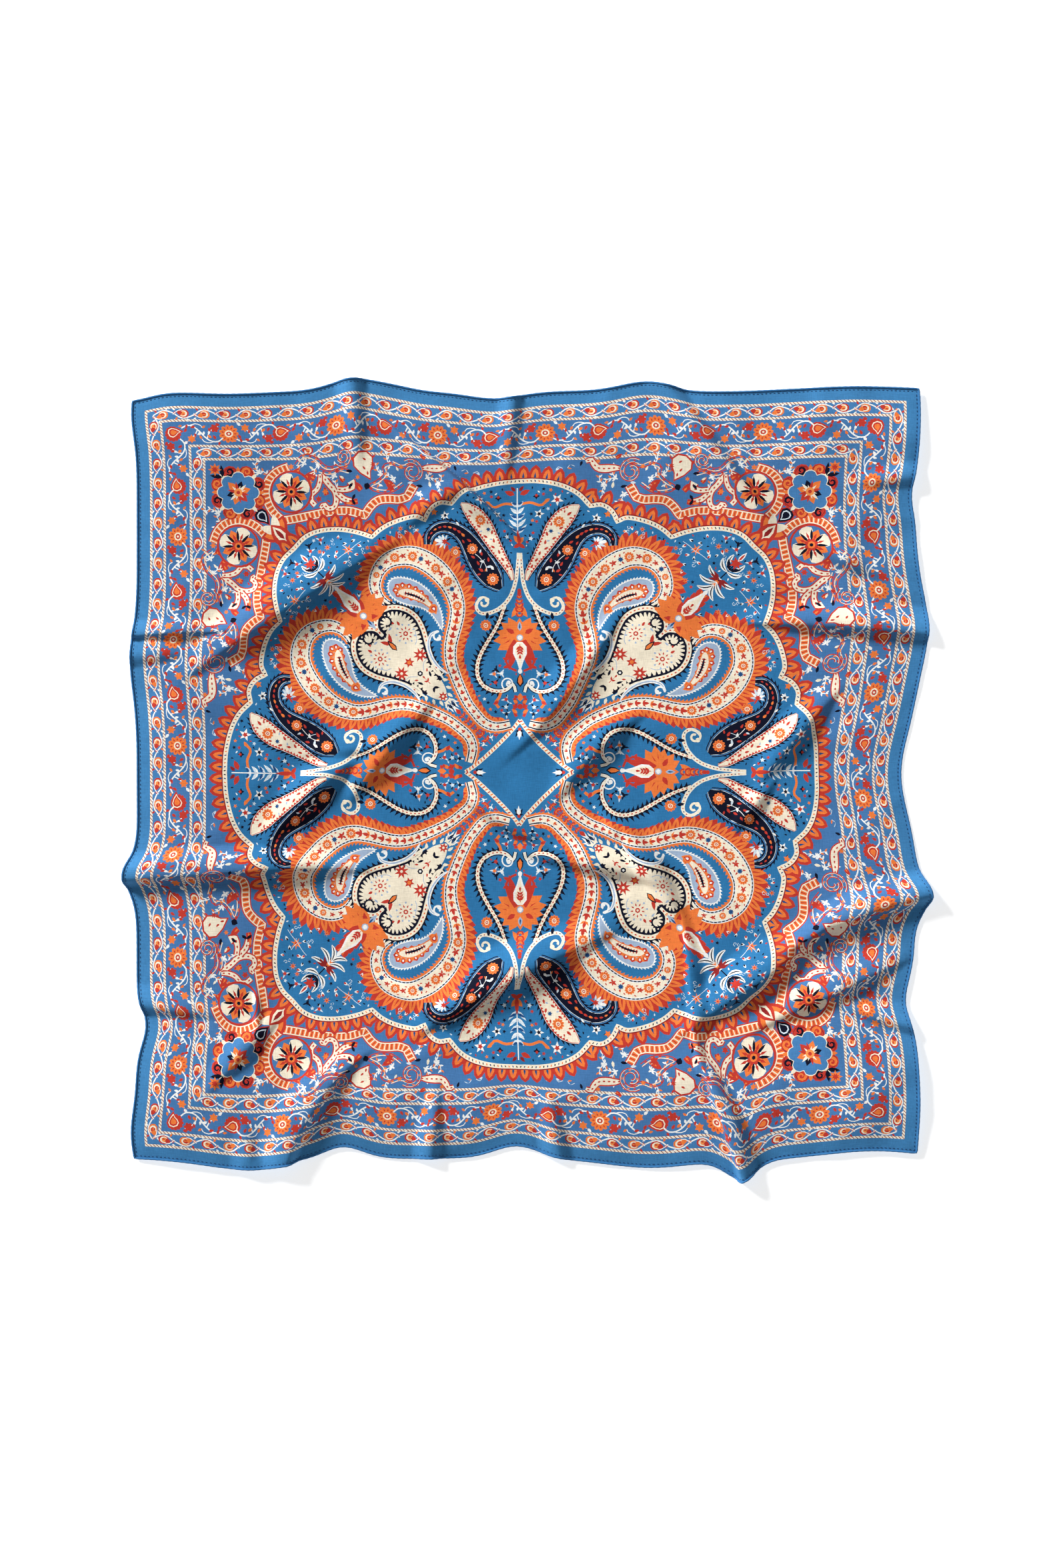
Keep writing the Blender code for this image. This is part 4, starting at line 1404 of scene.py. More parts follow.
@dataclass
class DiagonalSpray:
    """Palmette, drop, bud and leaf spray along the diagonal outwards."""

    drawing: Drawing

    def spray(self) -> None:
        """The palmette and the spray on the diagonal."""
        d = self.drawing
        d.copies = Copies.TURNED
        for side in (1, -1):
            for turn, size in ((50, 27), (70, 31), (90, 34), (110, 31), (128, 22)):
                d.leaves(
                    (181, 181, 45 + side * turn, size, 13, ORANGE, TONGUE),
                    (181, 181, 45 + side * (turn - 5), size * 0.62, 2.4, RED, SLIM),
                )
            for k, (at, size) in enumerate(((184, 17), (191, 16), (198, 14), (205, 12))):
                d.leaves(
                    (at, at, 45 + side * 42, size, 9, RED, TONGUE),
                    (at + 1, at + 1, 45 + side * 34, size * 0.7, 3, ORANGE if k % 2 else BRICK, SLIM),
                )
            d.leaf(179, 179, 45 + side * 122, 15, 6, RED)
        d.disc(180, 180, 9, ORANGE, 10)
        d.leaves(
            (176, 176, 225, 13, 5.4, SKY), (177, 177, 225, 9, 2.2, STEEL),
            (216, 216, 225, 43, 17, WHITE, DROP), (211, 211, 225, 36, 12.5, CREAM, DROP),
        )
        d.disc(181, 181, 4.2, SKY, 8)
        d.disc(181, 181, 2.9, WHITE, 8)
        d.sprig(186, 186, 45, 11, 3, 6.5, RED, RED)
        d.leaves((209, 209, 45, 8, 5, WHITE), (216, 216, 45, 17, 8.5, NAVY))
        d.pair(218, 218, 45, 7, 14, 3.2, ORANGE)
        d.ribbon(polyline([(226, 226), (246, 246)], 5), 1.4, NAVY)
        for at, turn, size in ((238, 30, 19), (236, 62, 17), (228, 84, 20), (224, 112, 21), (221, 140, 19)):
            for side in (1, -1):
                bow = spline([(0, 0, 0.4), (size * 0.35, side * 2.6, 4.2), (size * 0.72, side * 2.2, 4.0),
                              (size, -side * 0.8, 0.5)], 4)
                path = np.column_stack([placed(bow[:, :2], at, at, 45 + side * turn), bow[:, 2]])
                d.ribbon(path, path[:, 2] + 0.8, WHITE)
                d.ribbon(path, path[:, 2] * 0.3, NAVY)
        for side in (1, -1):
            d.leaf(238, 238, 45 + side * 46, 14, 4.6, NAVY)
            for turn in (74, 98, 126):
                d.leaf(227, 227, 45 + side * turn, 13, 4.2, BRICK, SLIM)
        d.star(246, 246, 8, 7, RED, 0.5, 45)
        d.leaves((248, 248, 45, 15, 5, WHITE), (249, 249, 45, 11, 2.4, RED))

    def scattered(self) -> None:
        """Flowers and curls beside the spray."""
        d = self.drawing
        d.copies = Copies.MIRRORED
        for x, y, r, ink in SCATTERED:
            if r > 3:
                d.star(x, y, r, 7, ink, 0.36, x * 7)
                d.disc(x, y, r * 0.26, RED, 5)
            else:
                d.leaves(
                    (x, y, x * 13 % 360, r * 2.2, r * 1.3, WHITE),
                    (x, y, x * 13 % 360, r * 1.4, r * 0.9, ink),
                )
        for x, y, turn in SCATTERED_CURLS:
            d.ribbon(spiral(x, y, 2.6, 0.9, turn, 0.3, 1.8), 0.7, VINE)
            d.ribbon(spiral(x + 4.4, y + 1.2, 2.4, -0.9, turn + 150, 0.3, 1.8), 0.7, VINE)
        for x, y in ((262, 195), (268, 208), (250, 214), (272, 186)):
            d.vine([(260, 200), ((260 + x) / 2 + 1, (200 + y) / 2), (x, y)], VINE, 0.7)

    def paint(self) -> None:
        """Paint all of it, in order."""
        self.spray()
        self.scattered()


@dataclass
class AxisPanel:
    """Everything on the axis: bud, drop, palmette, stalks, petals and the outer sprig."""

    drawing: Drawing

    def toothed_stalk(self) -> None:
        """The cream stalk with teeth that leaves the middle, and its curl."""
        d = self.drawing
        d.copies = Copies.MIRRORED
        path = spline(TOOTHED_STALK, 3.2)
        width = path[:, 2] * 0.66
        d.ribbon(path, width + 3.6, NAVY)
        d.ribbon(path, width + 1.5, WHITE)
        d.teeth(offset(path, -width / 2)[14:-1], 5.8, [4.5, 6.2, 6.8, 5.6], NAVY, -1, 0.5)
        d.teeth(offset(path, width / 2)[8:-1], 5.8, [5.0, 7.0, 7.0, 5.6], NAVY, 1, 0.5)
        d.ribbon(path, width, CREAM)
        d.dashes(path[6:-1], 4.8, 1.3, 2.0, (RED,))
        curl = spiral(105, 13.5, 8.2, -1.2, 150, 0.2)
        d.ribbon(curl, 1.6, WHITE)
        d.disc(106, 13, 2.6, WHITE)

    def branch(self) -> None:
        """The branch that leaves the axis and curls."""
        d = self.drawing
        path = spline(CREAM_BRANCH, 3.2)
        d.ribbon(path, path[:, 2] * 0.8 + 1.0, WHITE)
        d.ribbon(path, path[:, 2] * 0.8, CREAM)
        d.dashes(path[2:-5], 4.2, 1.2, 1.6, (RED, STEEL))
        d.ribbon(spiral(199.5, 41.5, 7.4, -1.0, 60, 0.3), 2.6, CREAM)
        d.disc(203, 37.5, 2.8, CREAM)
        d.rosette(173, 39, 6.6, 30)
        d.leaves((180, 38, -10, 9, 4, NAVY, LEAF), (181, 35, -60, 8, 3, NAVY, LEAF))
        d.rosette(258, 75, 6.8, 10)
        d.vine([(252, 70), (245, 64), (238, 62)], STEEL, 0.8)
        for k in range(3):
            d.leaf(251 - 5 * k, 69 - 3 * k, 150, 6, 2.2, STEEL)

    def side_spray(self) -> None:
        """The spray beside the hook."""
        d = self.drawing
        for turn, size, ink in SIDE_SPRAY:
            d.leaf(270, 88, turn, size, size * 0.27, ink)
        d.star(270, 88, 4, 6, RED, 0.5)

    def hook(self) -> None:
        """The hooked navy paisley."""
        d = self.drawing
        path = spline(HOOK, 3.2)
        width = path[:, 2]
        for side in (1, -1):
            d.teeth(offset(path, side * (width / 2 + 3.6))[2:-2], 5.2, [2, 3.4, 3.4, 3, 2], NAVY, side, 0.7)
        cap = np.array([[215.5, 21.8, 3.0]])
        path = np.vstack([cap, path])
        width = path[:, 2]
        d.lined(path, width, ((8.0, NAVY), (5.2, FIELD), (3.0, NAVY), (1.8, VINE), (0.6, NAVY)))
        d.rosette(227, 31, 7.2, 15)
        d.rosette(262, 55.5, 6.4, 40)
        d.scatter(HOOK_ORNAMENT, 0.46)
        d.vine([(236, 38), (244, 40), (252, 47), (256, 52)], WHITE, 0.7)
        d.vine([(240, 46), (246, 44), (250, 41)], VINE, 0.7)
        for k, (x, y, angle, at) in enumerate(stations(path[22:-2], 6.4)):
            d.leaf(x, y, angle, 6.2 - 2.5 * at, 3.2 - 1.4 * at, RED if k % 3 else ORANGE)

    def petal(self) -> None:
        """Petals that open towards the edge."""
        d = self.drawing
        path = spline(PETAL, 3.4)
        width = path[:, 2]
        for side in (1, -1):
            d.teeth(offset(path, side * (width / 2 + 1.6))[2:-1], 5.6, [1.6, 3.2, 4, 4, 3], NAVY, side, 0.7)
        d.lined(path, width, ((3.8, NAVY), (2.0, WHITE), (1.0, RED), (-0.6, CREAM)))
        for side in (1, -1):
            d.teeth(offset(path, side * (width / 2 - 0.3))[3:-3], 3.8, 2.2, RED, -side, 0.1)
        d.rosette(296, 46, 6.6, 25)
        d.scatter(PETAL_ORNAMENT, 0.45)
        d.star(285, 37, 3.2, 7, STEEL, 0.5)

    def outer_sprig(self) -> None:
        """The sprig next to the outline, and the flowers beside it."""
        d = self.drawing
        d.vine([(318, 2), (320, 14), (316, 26), (322, 33)], ORANGE, 3.0, 4)
        d.leaf(320, 30, 60, 7, 4, ORANGE)
        d.star(327, 21, 4, 4, NAVY, 0.5)
        d.disc(328, 21, 1.8, RED, 5)
        for k in range(5):
            x = 283 + 8 * k
            size = 15 - 1.4 * k
            d.leaves(
                (x, 0.5, 42, size, 3.6, WHITE if k % 2 else VINE),
                (x + 3, 0.5, 62, size * 0.7, 2.8, VINE if k % 2 else STEEL),
            )
        for x, y, size in ((306, 24, 6), (322, 44, 7.5), (300, 88, 5.5)):
            d.star(x, y, size, 5, WHITE, 0.42, x)
            d.star(x, y, size * 0.5, 5, RED if x > 310 else NAVY, 0.5, x + 30)
        for k in range(4):
            d.leaf(305 - 4 * k, 96 - 7 * k, 100 + 40 * k, 6, 2.2, WHITE if k % 2 else NAVY)
        d.star(304, 101, 4.4, 5, ORANGE, 0.5)

    def arabesques(self) -> None:
        """Red arabesques near the middle."""
        d = self.drawing
        d.vine([(66, 4), (74, 7), (82, 4), (88, 7)], RED, 3.4, 3)
        d.vine([(76, 24), (82, 28), (88, 24), (94, 22)], ORANGE, 3.2, 3)
        d.leaf(84, 24, 120, 8, 4, RED)
        for k in range(4):
            d.leaf(70 + 6 * k, 3, 55, 8 - k, 4, RED if k % 2 else ORANGE)
        d.vine([(120, 4), (124, 12), (132, 16), (137, 13)], RED, 2.6, 3)
        d.leaves((126, 12, 110, 8, 4, RED), (132, 14, 60, 7, 3.6, RED))

    def line(self) -> None:
        """Bud, drop, palmette and leaves on the axis itself."""
        d = self.drawing
        d.copies = Copies.TURNED
        d.ribbon(polyline([(283, 0), (338, 0)], 6), 1.2, WHITE)
        for side in (1, -1):
            d.leaves((330, side * 3, side * 66, 12, 6, RED), (334, side * 2, side * 40, 8, 4, BRICK))
            for turn, size in ((78, 27), (100, 31), (122, 30), (145, 26)):
                d.leaves(
                    (160, 0, side * turn, size, 13, ORANGE, TONGUE),
                    (160, side * 3, side * (turn - 4), size * 0.62, 2.2, RED, SLIM),
                )
            for turn, size in ((30, 26), (52, 27)):
                d.leaf(160, 0, side * turn, size, 12, ORANGE, TONGUE)
            for turn, size in ((150, 30), (164, 36)):
                d.leaf(155, side * 3, side * turn, size, 8, RED, TONGUE)
            d.leaves((164, side * 6, side * 60, 11, 5.5, RED), (196, 0, side * 145, 16, 6, ORANGE, TONGUE))
        d.leaves(
            (158, 0, 0, 24, 13, ORANGE), (167, 0, 0, 11, 5, SKY), (169, 0, 0, 7, 2, STEEL),
            (118, 0, 0, 36, 18, WHITE, DROP), (124, 0, 0, 29, 13, CREAM, DROP),
        )
        d.sprig(151, 0, 180, 11, 3, 6.5, RED, RED)
        d.disc(159, 0, 4.0, SKY, 8)
        d.disc(159, 0, 2.8, WHITE, 8)
        d.leaves((116, 0, 0, 8, 5, WHITE), (101, 0, 0, 16, 8, NAVY), (103, 0, 0, 13, 5, ORANGE))
        for k in range(5):
            size = 8.5 - abs(k - 1.5) * 1.4
            for side in (1, -1):
                d.leaves(
                    (183 + k * 5.4, 0, side * 40, size, size * 0.6, RED),
                    (184 + k * 5.4, 0, side * 38, size * 0.6, size * 0.26, ORANGE),
                )
        d.leaf(207, 0, 0, 8, 5, RED)
        d.disc(214, 0, 2.4, RED, 7)
        d.star(275, 0, 6, 6, RED, 0.5)
        for side in (1, -1):
            d.leaves((271, 0, side * 40, 10, 5, ORANGE, TONGUE), (268, 0, side * 120, 8, 4, RED, TONGUE))
        d.leaf(266, 0, 0, 22, 5, RED)
        d.disc(78, 0, 3.4, RED, 8)
        d.leaf(84, 0, 0, 10, 6, ORANGE)

    def paint(self) -> None:
        """Paint all of it, in order."""
        self.toothed_stalk()
        self.branch()
        self.side_spray()
        self.hook()
        self.petal()
        self.outer_sprig()
        self.arabesques()
        self.line()


@dataclass
class GroundFill:
    """Small blossoms and leaves wherever the medallion's blue is still open."""

    drawing: Drawing
    step: float = 7.4
    wide: float = 6.2         # room for a blossom with leaves, for a blossom and for a leaf
    middling: float = 4.2
    narrow: float = 2.7

    def paint(self) -> None:
        """Paint a blossom or a leaf in each open place of an even, slightly shaken lattice."""
        d = self.drawing
        d.copies = Copies.MIRRORED
        columns, rows = np.meshgrid(np.arange(70, 356, self.step), np.arange(3, 250, self.step * 0.87))
        every_second = np.repeat(np.arange(len(rows)) % 2, columns.shape[1])
        spots = np.stack([columns.ravel() + every_second * self.step / 2, rows.ravel()], axis=1)
        spots += 1.6 * np.stack([np.sin(spots[:, 1] * 1.7 + spots[:, 0] * 0.3),
                                 np.sin(spots[:, 0] * 1.3 - spots[:, 1])], axis=1)
        x, y = spots.T
        spots = spots[(y > 2.5) & (x - y > 3) & (x + y > 84) & ((x > 254) | (x + y < 150) | (x - y < 30))]
        spots = spots[top_inks(d, spots) == GROUND]
        drawn = np.vstack(d.places)
        drawn = drawn[(drawn[:, 0] > 50) & (drawn[:, 0] < 370) & (drawn[:, 1] > -15) & (drawn[:, 1] < 270)]
        for k, (x, y) in enumerate(spots):
            room = np.sqrt(((drawn - (x, y)) ** 2).sum(axis=1).min())
            ink, turn = FILL_INKS[k % 8], k * 137.5 % 360
            if room > self.wide:
                for side in (40, 160, 280):
                    d.leaf(x, y, turn + side, 6.0, 1.9, NAVY if k % 2 else VINE)
                d.star(x, y, 3.0, 5, ink if k % 3 else RED, 0.5, turn)
            elif room > self.middling:
                d.star(x, y, 2.5, 5, ink, 0.45, turn)
            elif room > self.narrow:
                d.leaf(x - 1.4 * math.cos(math.radians(turn)), y - 1.4 * math.sin(math.radians(turn)), turn,
                       3.6, 1.6, ink)


def draw_print() -> Drawing:
    """The whole print of the scarf, in painting order."""
    drawing = Drawing()
    medallion = Medallion(drawing)
    PrintedBorder(drawing).paint()
    CornerOrnament(drawing).paint()
    medallion.ground()
    PaisleyField(drawing).paint()
    DiagonalSpray(drawing).paint()
    AxisPanel(drawing).paint()
    medallion.outline()
    GroundFill(drawing).paint()
    return drawing


# ---------------------------------------------------------------------------------------------
# From the drawing to a mesh of the cloth
# ---------------------------------------------------------------------------------------------

PRINT_HALF = 448.4        # the printed cloth runs under the middle of the rolled edge
RIM_STEP = 7.0
LONG_EDGE = 5.5           # longer edges are cut, so that they bend with the folds
GROUND_STEP = 7.2         # spacing of the extra points in plain ground
FOLD_STEP = 3.4           # their spacing where the cloth bends sharply
SHARP_BEND = 0.012        # curvature of a sharp bend, per millimetre
CELL = 6.0                # side of the cells in which spots are looked up
LOOKUP_HALF = 460.0       # the cells cover the square of this half side
SAME_PLACE = 0.02         # points closer than this are one point
CLEAR_FOLD = 2.4          # distance that extra points keep from the print's edges, in folds
CLEAR_GROUND = 3.4        # and elsewhere
STRAIGHT = 0.2            # how far a dropped point may lie from the straight edge
STRAIGHT_ROUNDS = 12
GATHER = 0.7              # side of the cells whose points are brought together


def triangulate(points: Array, edges: Array) -> tuple[Array, Array]:
    """Triangles of the square that keep every given edge.

    Args:
        points: places of the cut.
        edges: pairs of their numbers.

    Returns:
        Points and triangles.
    """
    flat = [Vector(p) for p in points]
    pairs = [(int(a), int(b)) for a, b in edges]
    places, _, faces, _, _, _ = delaunay_2d_cdt(flat, pairs, [], 0, SAME_PLACE, False)
    return np.array([tuple(p) for p in places]), np.array([tuple(f) for f in faces])


def inside(points: Array, loop: Array) -> Array:
    """Which points lie inside a closed outline."""
    x, y = points[:, :1], points[:, 1:]
    x0, y0 = loop[:, 0], loop[:, 1]
    x1, y1 = np.roll(x0, -1), np.roll(y0, -1)
    straddles = (y0 > y) != (y1 > y)
    crossing = (x1 - x0) * (y - y0) / np.where(y1 == y0, 1.0, y1 - y0) + x0
    return np.count_nonzero(straddles & (x < crossing), axis=1) % 2 == 1


def top_inks(drawing: Drawing, spots: Array) -> Array:
    """The ink that shows at each spot, once every shape is painted in order.

    Args:
        drawing: the print.
        spots: places of the cut.

    Returns:
        The number of an ink for each spot.
    """
    places = np.vstack(drawing.places)
    cells = int(2 * LOOKUP_HALF / CELL)
    grid = np.clip(((spots + LOOKUP_HALF) / CELL).astype(int), 0, cells - 1)
    key = grid[:, 1] * cells + grid[:, 0]
    order = np.argsort(key, kind="stable")
    spots = spots[order]
    starts = np.searchsorted(key[order], np.arange(cells * cells + 1))
    shown = np.zeros(len(spots), int)
    for face, ink in zip(drawing.faces, drawing.inks):
        loop = places[face]
        x0, y0 = np.clip(((loop.min(axis=0) + LOOKUP_HALF) / CELL).astype(int), 0, cells - 1)
        x1, y1 = np.clip(((loop.max(axis=0) + LOOKUP_HALF) / CELL).astype(int), 0, cells - 1)
        for row in range(y0, y1 + 1):
            first, last = starts[row * cells + x0], starts[row * cells + x1 + 1]
            if last > first:
                part = shown[first:last]
                part[inside(spots[first:last], loop)] = ink
    result = np.empty(len(spots), int)
    result[order] = shown
    return result


def ink_edges(triangles: Array, inks: Array) -> Array:
    """Edges that part two different inks."""
    edges = np.sort(np.concatenate([triangles[:, [0, 1]], triangles[:, [1, 2]], triangles[:, [2, 0]]]),
                    axis=1)
    owner = np.tile(np.arange(len(triangles)), 3)
    order = np.lexsort((edges[:, 1], edges[:, 0]))
    edges, owner = edges[order], owner[order]
    shared = np.nonzero((edges[1:] == edges[:-1]).all(axis=1))[0]
    differ = inks[owner[shared]] != inks[owner[shared + 1]]
    return edges[shared[differ]]


def straighten(points: Array, edges: Array) -> Array:
    """Drop points in the middle of nearly straight runs of an edge network.

    Args:
        points: places of the cut.
        edges: pairs of their numbers.

    Returns:
        The edges that are left.
    """
    for _ in range(STRAIGHT_ROUNDS):
        ends = np.concatenate([edges, edges[:, ::-1]])
        ends = ends[np.argsort(ends[:, 0], kind="stable")]
        first = np.searchsorted(ends[:, 0], np.arange(len(points) + 1))
        simple = np.nonzero(np.diff(first) == 2)[0]
        a, b = ends[first[simple], 1], ends[first[simple] + 1, 1]
        chord = points[b] - points[a]
        length = np.linalg.norm(chord, axis=1)
        arm = points[simple] - points[a]
        away = np.abs(chord[:, 0] * arm[:, 1] - chord[:, 1] * arm[:, 0]) / np.maximum(length, 1e-9)
        good = (away < STRAIGHT) & (length < LONG_EDGE)
        taken = np.zeros(len(points), bool)
        merged = []
        gone = np.zeros(len(points), bool)
        for vertex, left, right in zip(simple[good], a[good], b[good]):
            if not (taken[vertex] or taken[left] or taken[right]):
                taken[[vertex, left, right]] = True
                gone[vertex] = True
                merged.append((left, right))
        if not merged:
            break
        keep = ~(gone[edges[:, 0]] | gone[edges[:, 1]])
        edges = np.unique(np.sort(np.concatenate([edges[keep], np.array(merged)]), axis=1), axis=0)
    return edges


def gathered(points: Array, edges: Array) -> tuple[Array, Array]:
    """Bring points that share a small cell to their mean, and drop the edges that vanish.

    Args:
        points: places of the cut.
        edges: pairs of their numbers.

    Returns:
        The means, and the edges between them.
    """
    _, group = np.unique((points / GATHER).round().astype(int), axis=0, return_inverse=True)
    group = group.ravel()
    share = np.bincount(group)[:, None]
    means = np.stack([np.bincount(group, points[:, i]) for i in (0, 1)], axis=1) / share
    edges = np.sort(group[edges], axis=1)
    return means, np.unique(edges[edges[:, 0] != edges[:, 1]], axis=0)


def cut_long(points: Array, edges: Array) -> tuple[Array, Array]:
    """Cut edges that are longer than a limit into equal parts.

    Args:
        points: places of the cut.
        edges: pairs of their numbers.

    Returns:
        The points with the new ones, and the edges.
    """
    span = np.linalg.norm(points[edges[:, 0]] - points[edges[:, 1]], axis=1)
    parts = np.ceil(span / LONG_EDGE).astype(int)
    new_points, new_edges = [points], [edges[parts < 2]]
    count = len(points)
    for (a, b), n in zip(edges[parts > 1], parts[parts > 1]):
        t = (np.arange(1, n) / n)[:, None]
        new_points.append(points[a] + (points[b] - points[a]) * t)
        chain = [a, *range(count, count + n - 1), b]
        new_edges.append(np.stack([chain[:-1], chain[1:]], axis=1))
        count += n - 1
    return np.vstack(new_points), np.vstack(new_edges)


def ground_points(points: Array, step: float, clear: float, sharpest: bool = False) -> Array:
    """An even lattice of points that keeps clear of the given ones.

    Args:
        points: the places to keep clear of.
        step: spacing of the lattice.
        clear: distance to keep.
        sharpest: whether to keep only points where the laid cloth bends sharply.

    Returns:
        The points of the lattice that are kept.
    """
    lines = np.linspace(-PRINT_HALF, PRINT_HALF, round(2 * PRINT_HALF / step) + 1)
    x, y = np.meshgrid(lines, lines)
    lattice = np.stack([x.ravel(), y.ravel()], axis=1)
    if sharpest:
        lattice = lattice[CLOTH.bend(lattice) > SHARP_BEND]
    near = {(int(a), int(b)) for a, b in np.unique((points / clear).round().astype(int), axis=0)}
    keep = [(int(a), int(b)) not in near for a, b in (lattice / clear).round().astype(int)]
    return lattice[np.array(keep)]


def printed_triangles(drawing: Drawing) -> tuple[Array, Array, Array]:
    """Triangulate the print, keeping only the edges that show.

    Args:
        drawing: the print.

    Returns:
        Points of the cut, triangles, and the ink of each triangle.
    """
    places = np.round(np.vstack(drawing.places), 2)
    pairs = np.concatenate([np.stack([f, np.roll(f, -1)], axis=1) for f in drawing.faces])
    points, index = np.unique(places, axis=0, return_inverse=True)
    edges = np.sort(index.ravel()[pairs], axis=1)
    edges = np.unique(edges[edges[:, 0] != edges[:, 1]], axis=0)
    points, triangles = triangulate(points, edges)
    inks = top_inks(drawing, points[triangles].mean(axis=1))
    points, edges = gathered(points, ink_edges(triangles, inks))
    edges = straighten(points, edges)
    rim = square_rim(PRINT_HALF, RIM_STEP)
    used, edges = np.unique(edges, return_inverse=True)
    edges = edges.reshape(-1, 2)
    points = points[used]
    edges = np.vstack([edges, np.stack([np.arange(len(rim)), np.roll(np.arange(len(rim)), -1)],
                                       axis=1) + len(points)])
    points = np.vstack([points, rim])
    points, edges = cut_long(points, edges)
    log.info("print: %d visible edges", len(edges))
    points = np.vstack([points, ground_points(points, FOLD_STEP, CLEAR_FOLD, True)])
    points = np.vstack([points, ground_points(points, GROUND_STEP, CLEAR_GROUND)])
    points, triangles = triangulate(points, edges)
    middles = points[triangles].mean(axis=1)
    keep = np.abs(middles).max(axis=1) < PRINT_HALF
    triangles = triangles[keep]
    return points, triangles, top_inks(drawing, middles[keep])


# ---------------------------------------------------------------------------------------------
# Finishes
# ---------------------------------------------------------------------------------------------

SHEEN_SPREAD = 0.45
SILK_SPECULAR = 0.1
WEAVE_LAYERS = (          # name, scale along and across the threads, detail
    ("warp", (900.0, 120.0, 1.0), 2.0),
    ("weft", (110.0, 760.0, 1.0), 2.0),
    ("cloud", (26.0, 26.0, 1.0), 3.0),
)
CLOUD_SHARE = 0.6
MEAN_TONE = 1.3           # mean of the three layers, taken off so that the tone is even about zero
WEAVE_RELIEF = 0.12
WEAVE_DEPTH = 0.0004      # metres
DASH_PITCH = 0.0040       # metres, along x plus y of the cut
DASH_SHARE = 0.14
DASH_RED = (150, 56, 44)
THREAD_GRAIN = 180.0
THREAD_TONES = (0.7, 1.3)


def linear(colour: Sequence[float]) -> Array:
    """Linear light values of an 8-bit display colour."""
    c = np.asarray(colour, float) / 255.0
    return np.where(c <= 0.04045, c / 12.92, ((c + 0.055) / 1.055) ** 2.4)


@dataclass
class Bench:
    """Adds the nodes of one tree and joins them."""

    tree: bpy.types.NodeTree

    def node(self, kind: str, inputs: dict | None = None, **settings: object) -> bpy.types.Node:
        """Add a node.

        Args:
            kind: Blender's name of the type.
            inputs: a plain value or an output socket for each named or numbered input.
            settings: attributes of the node, set before its inputs.

        Returns:
            The node.
        """
        node = self.tree.nodes.new(kind)
        for name, value in settings.items():
            setattr(node, name, value)
        for key, value in (inputs or {}).items():
            self.feed(node.inputs[key], value)
        return node

    def feed(self, socket: bpy.types.NodeSocket, value: object) -> None:
        """Join an output to a socket, or give the socket a plain value."""
        if isinstance(value, bpy.types.NodeSocket):
            self.tree.links.new(value, socket)
        else:
            socket.default_value = value

    def math(self, operation: str, *values: object) -> bpy.types.NodeSocket:
        """Output of a Math node on values or sockets."""
        return self.node("ShaderNodeMath", dict(enumerate(values)), operation=operation).outputs[0]


def weave_group() -> bpy.types.NodeTree:
    """Node group: the silk's fine threads as a tone and a bump height, from the cut's own UV."""
    group = bpy.data.node_groups.new("silk_weave", "ShaderNodeTree")
    group.interface.new_socket("Vector", in_out="INPUT", socket_type="NodeSocketVector")
    group.interface.new_socket("Tone", in_out="OUTPUT", socket_type="NodeSocketFloat")
    group.interface.new_socket("Height", in_out="OUTPUT", socket_type="NodeSocketFloat")
    bench = Bench(group)
    start = bench.node("NodeGroupInput")
    tones = []
    for name, scale, detail in WEAVE_LAYERS:
        stretch = bench.node("ShaderNodeMapping", {"Vector": start.outputs["Vector"], "Scale": scale},
                             name=name)
        noise = bench.node("ShaderNodeTexNoise", {"Vector": stretch.outputs["Vector"], "Scale": 1.0,
                                                  "Detail": detail})
        tones.append(noise.outputs["Fac"])
    threads = bench.math("ADD", tones[0], tones[1])
    clouded = bench.math("MULTIPLY_ADD", tones[2], CLOUD_SHARE, threads)
    bench.node("NodeGroupOutput", {"Tone": bench.math("SUBTRACT", clouded, MEAN_TONE), "Height": threads})
    return group


@dataclass(frozen=True)
class Finish:
    """A surface with one tint."""

    name: str
    tint: tuple[float, float, float]
    roughness: float
    sheen: float

    def begin(self, specular: float) -> tuple[bpy.types.Material, Bench, bpy.types.Node]:
        """Make the material and set the values that are the same all over it.

        Args:
            specular: the shader's specular level.

        Returns:
            The material, its bench and its shader.
        """
        material = bpy.data.materials.new(self.name)
        material.use_nodes = True
        material.diffuse_color = (*self.tint, 1.0)
        shader = material.node_tree.nodes["Principled BSDF"]
        shader.inputs["Roughness"].default_value = self.roughness
        shader.inputs["Sheen Weight"].default_value = self.sheen
        shader.inputs["Specular IOR Level"].default_value = specular
        return material, Bench(material.node_tree), shader


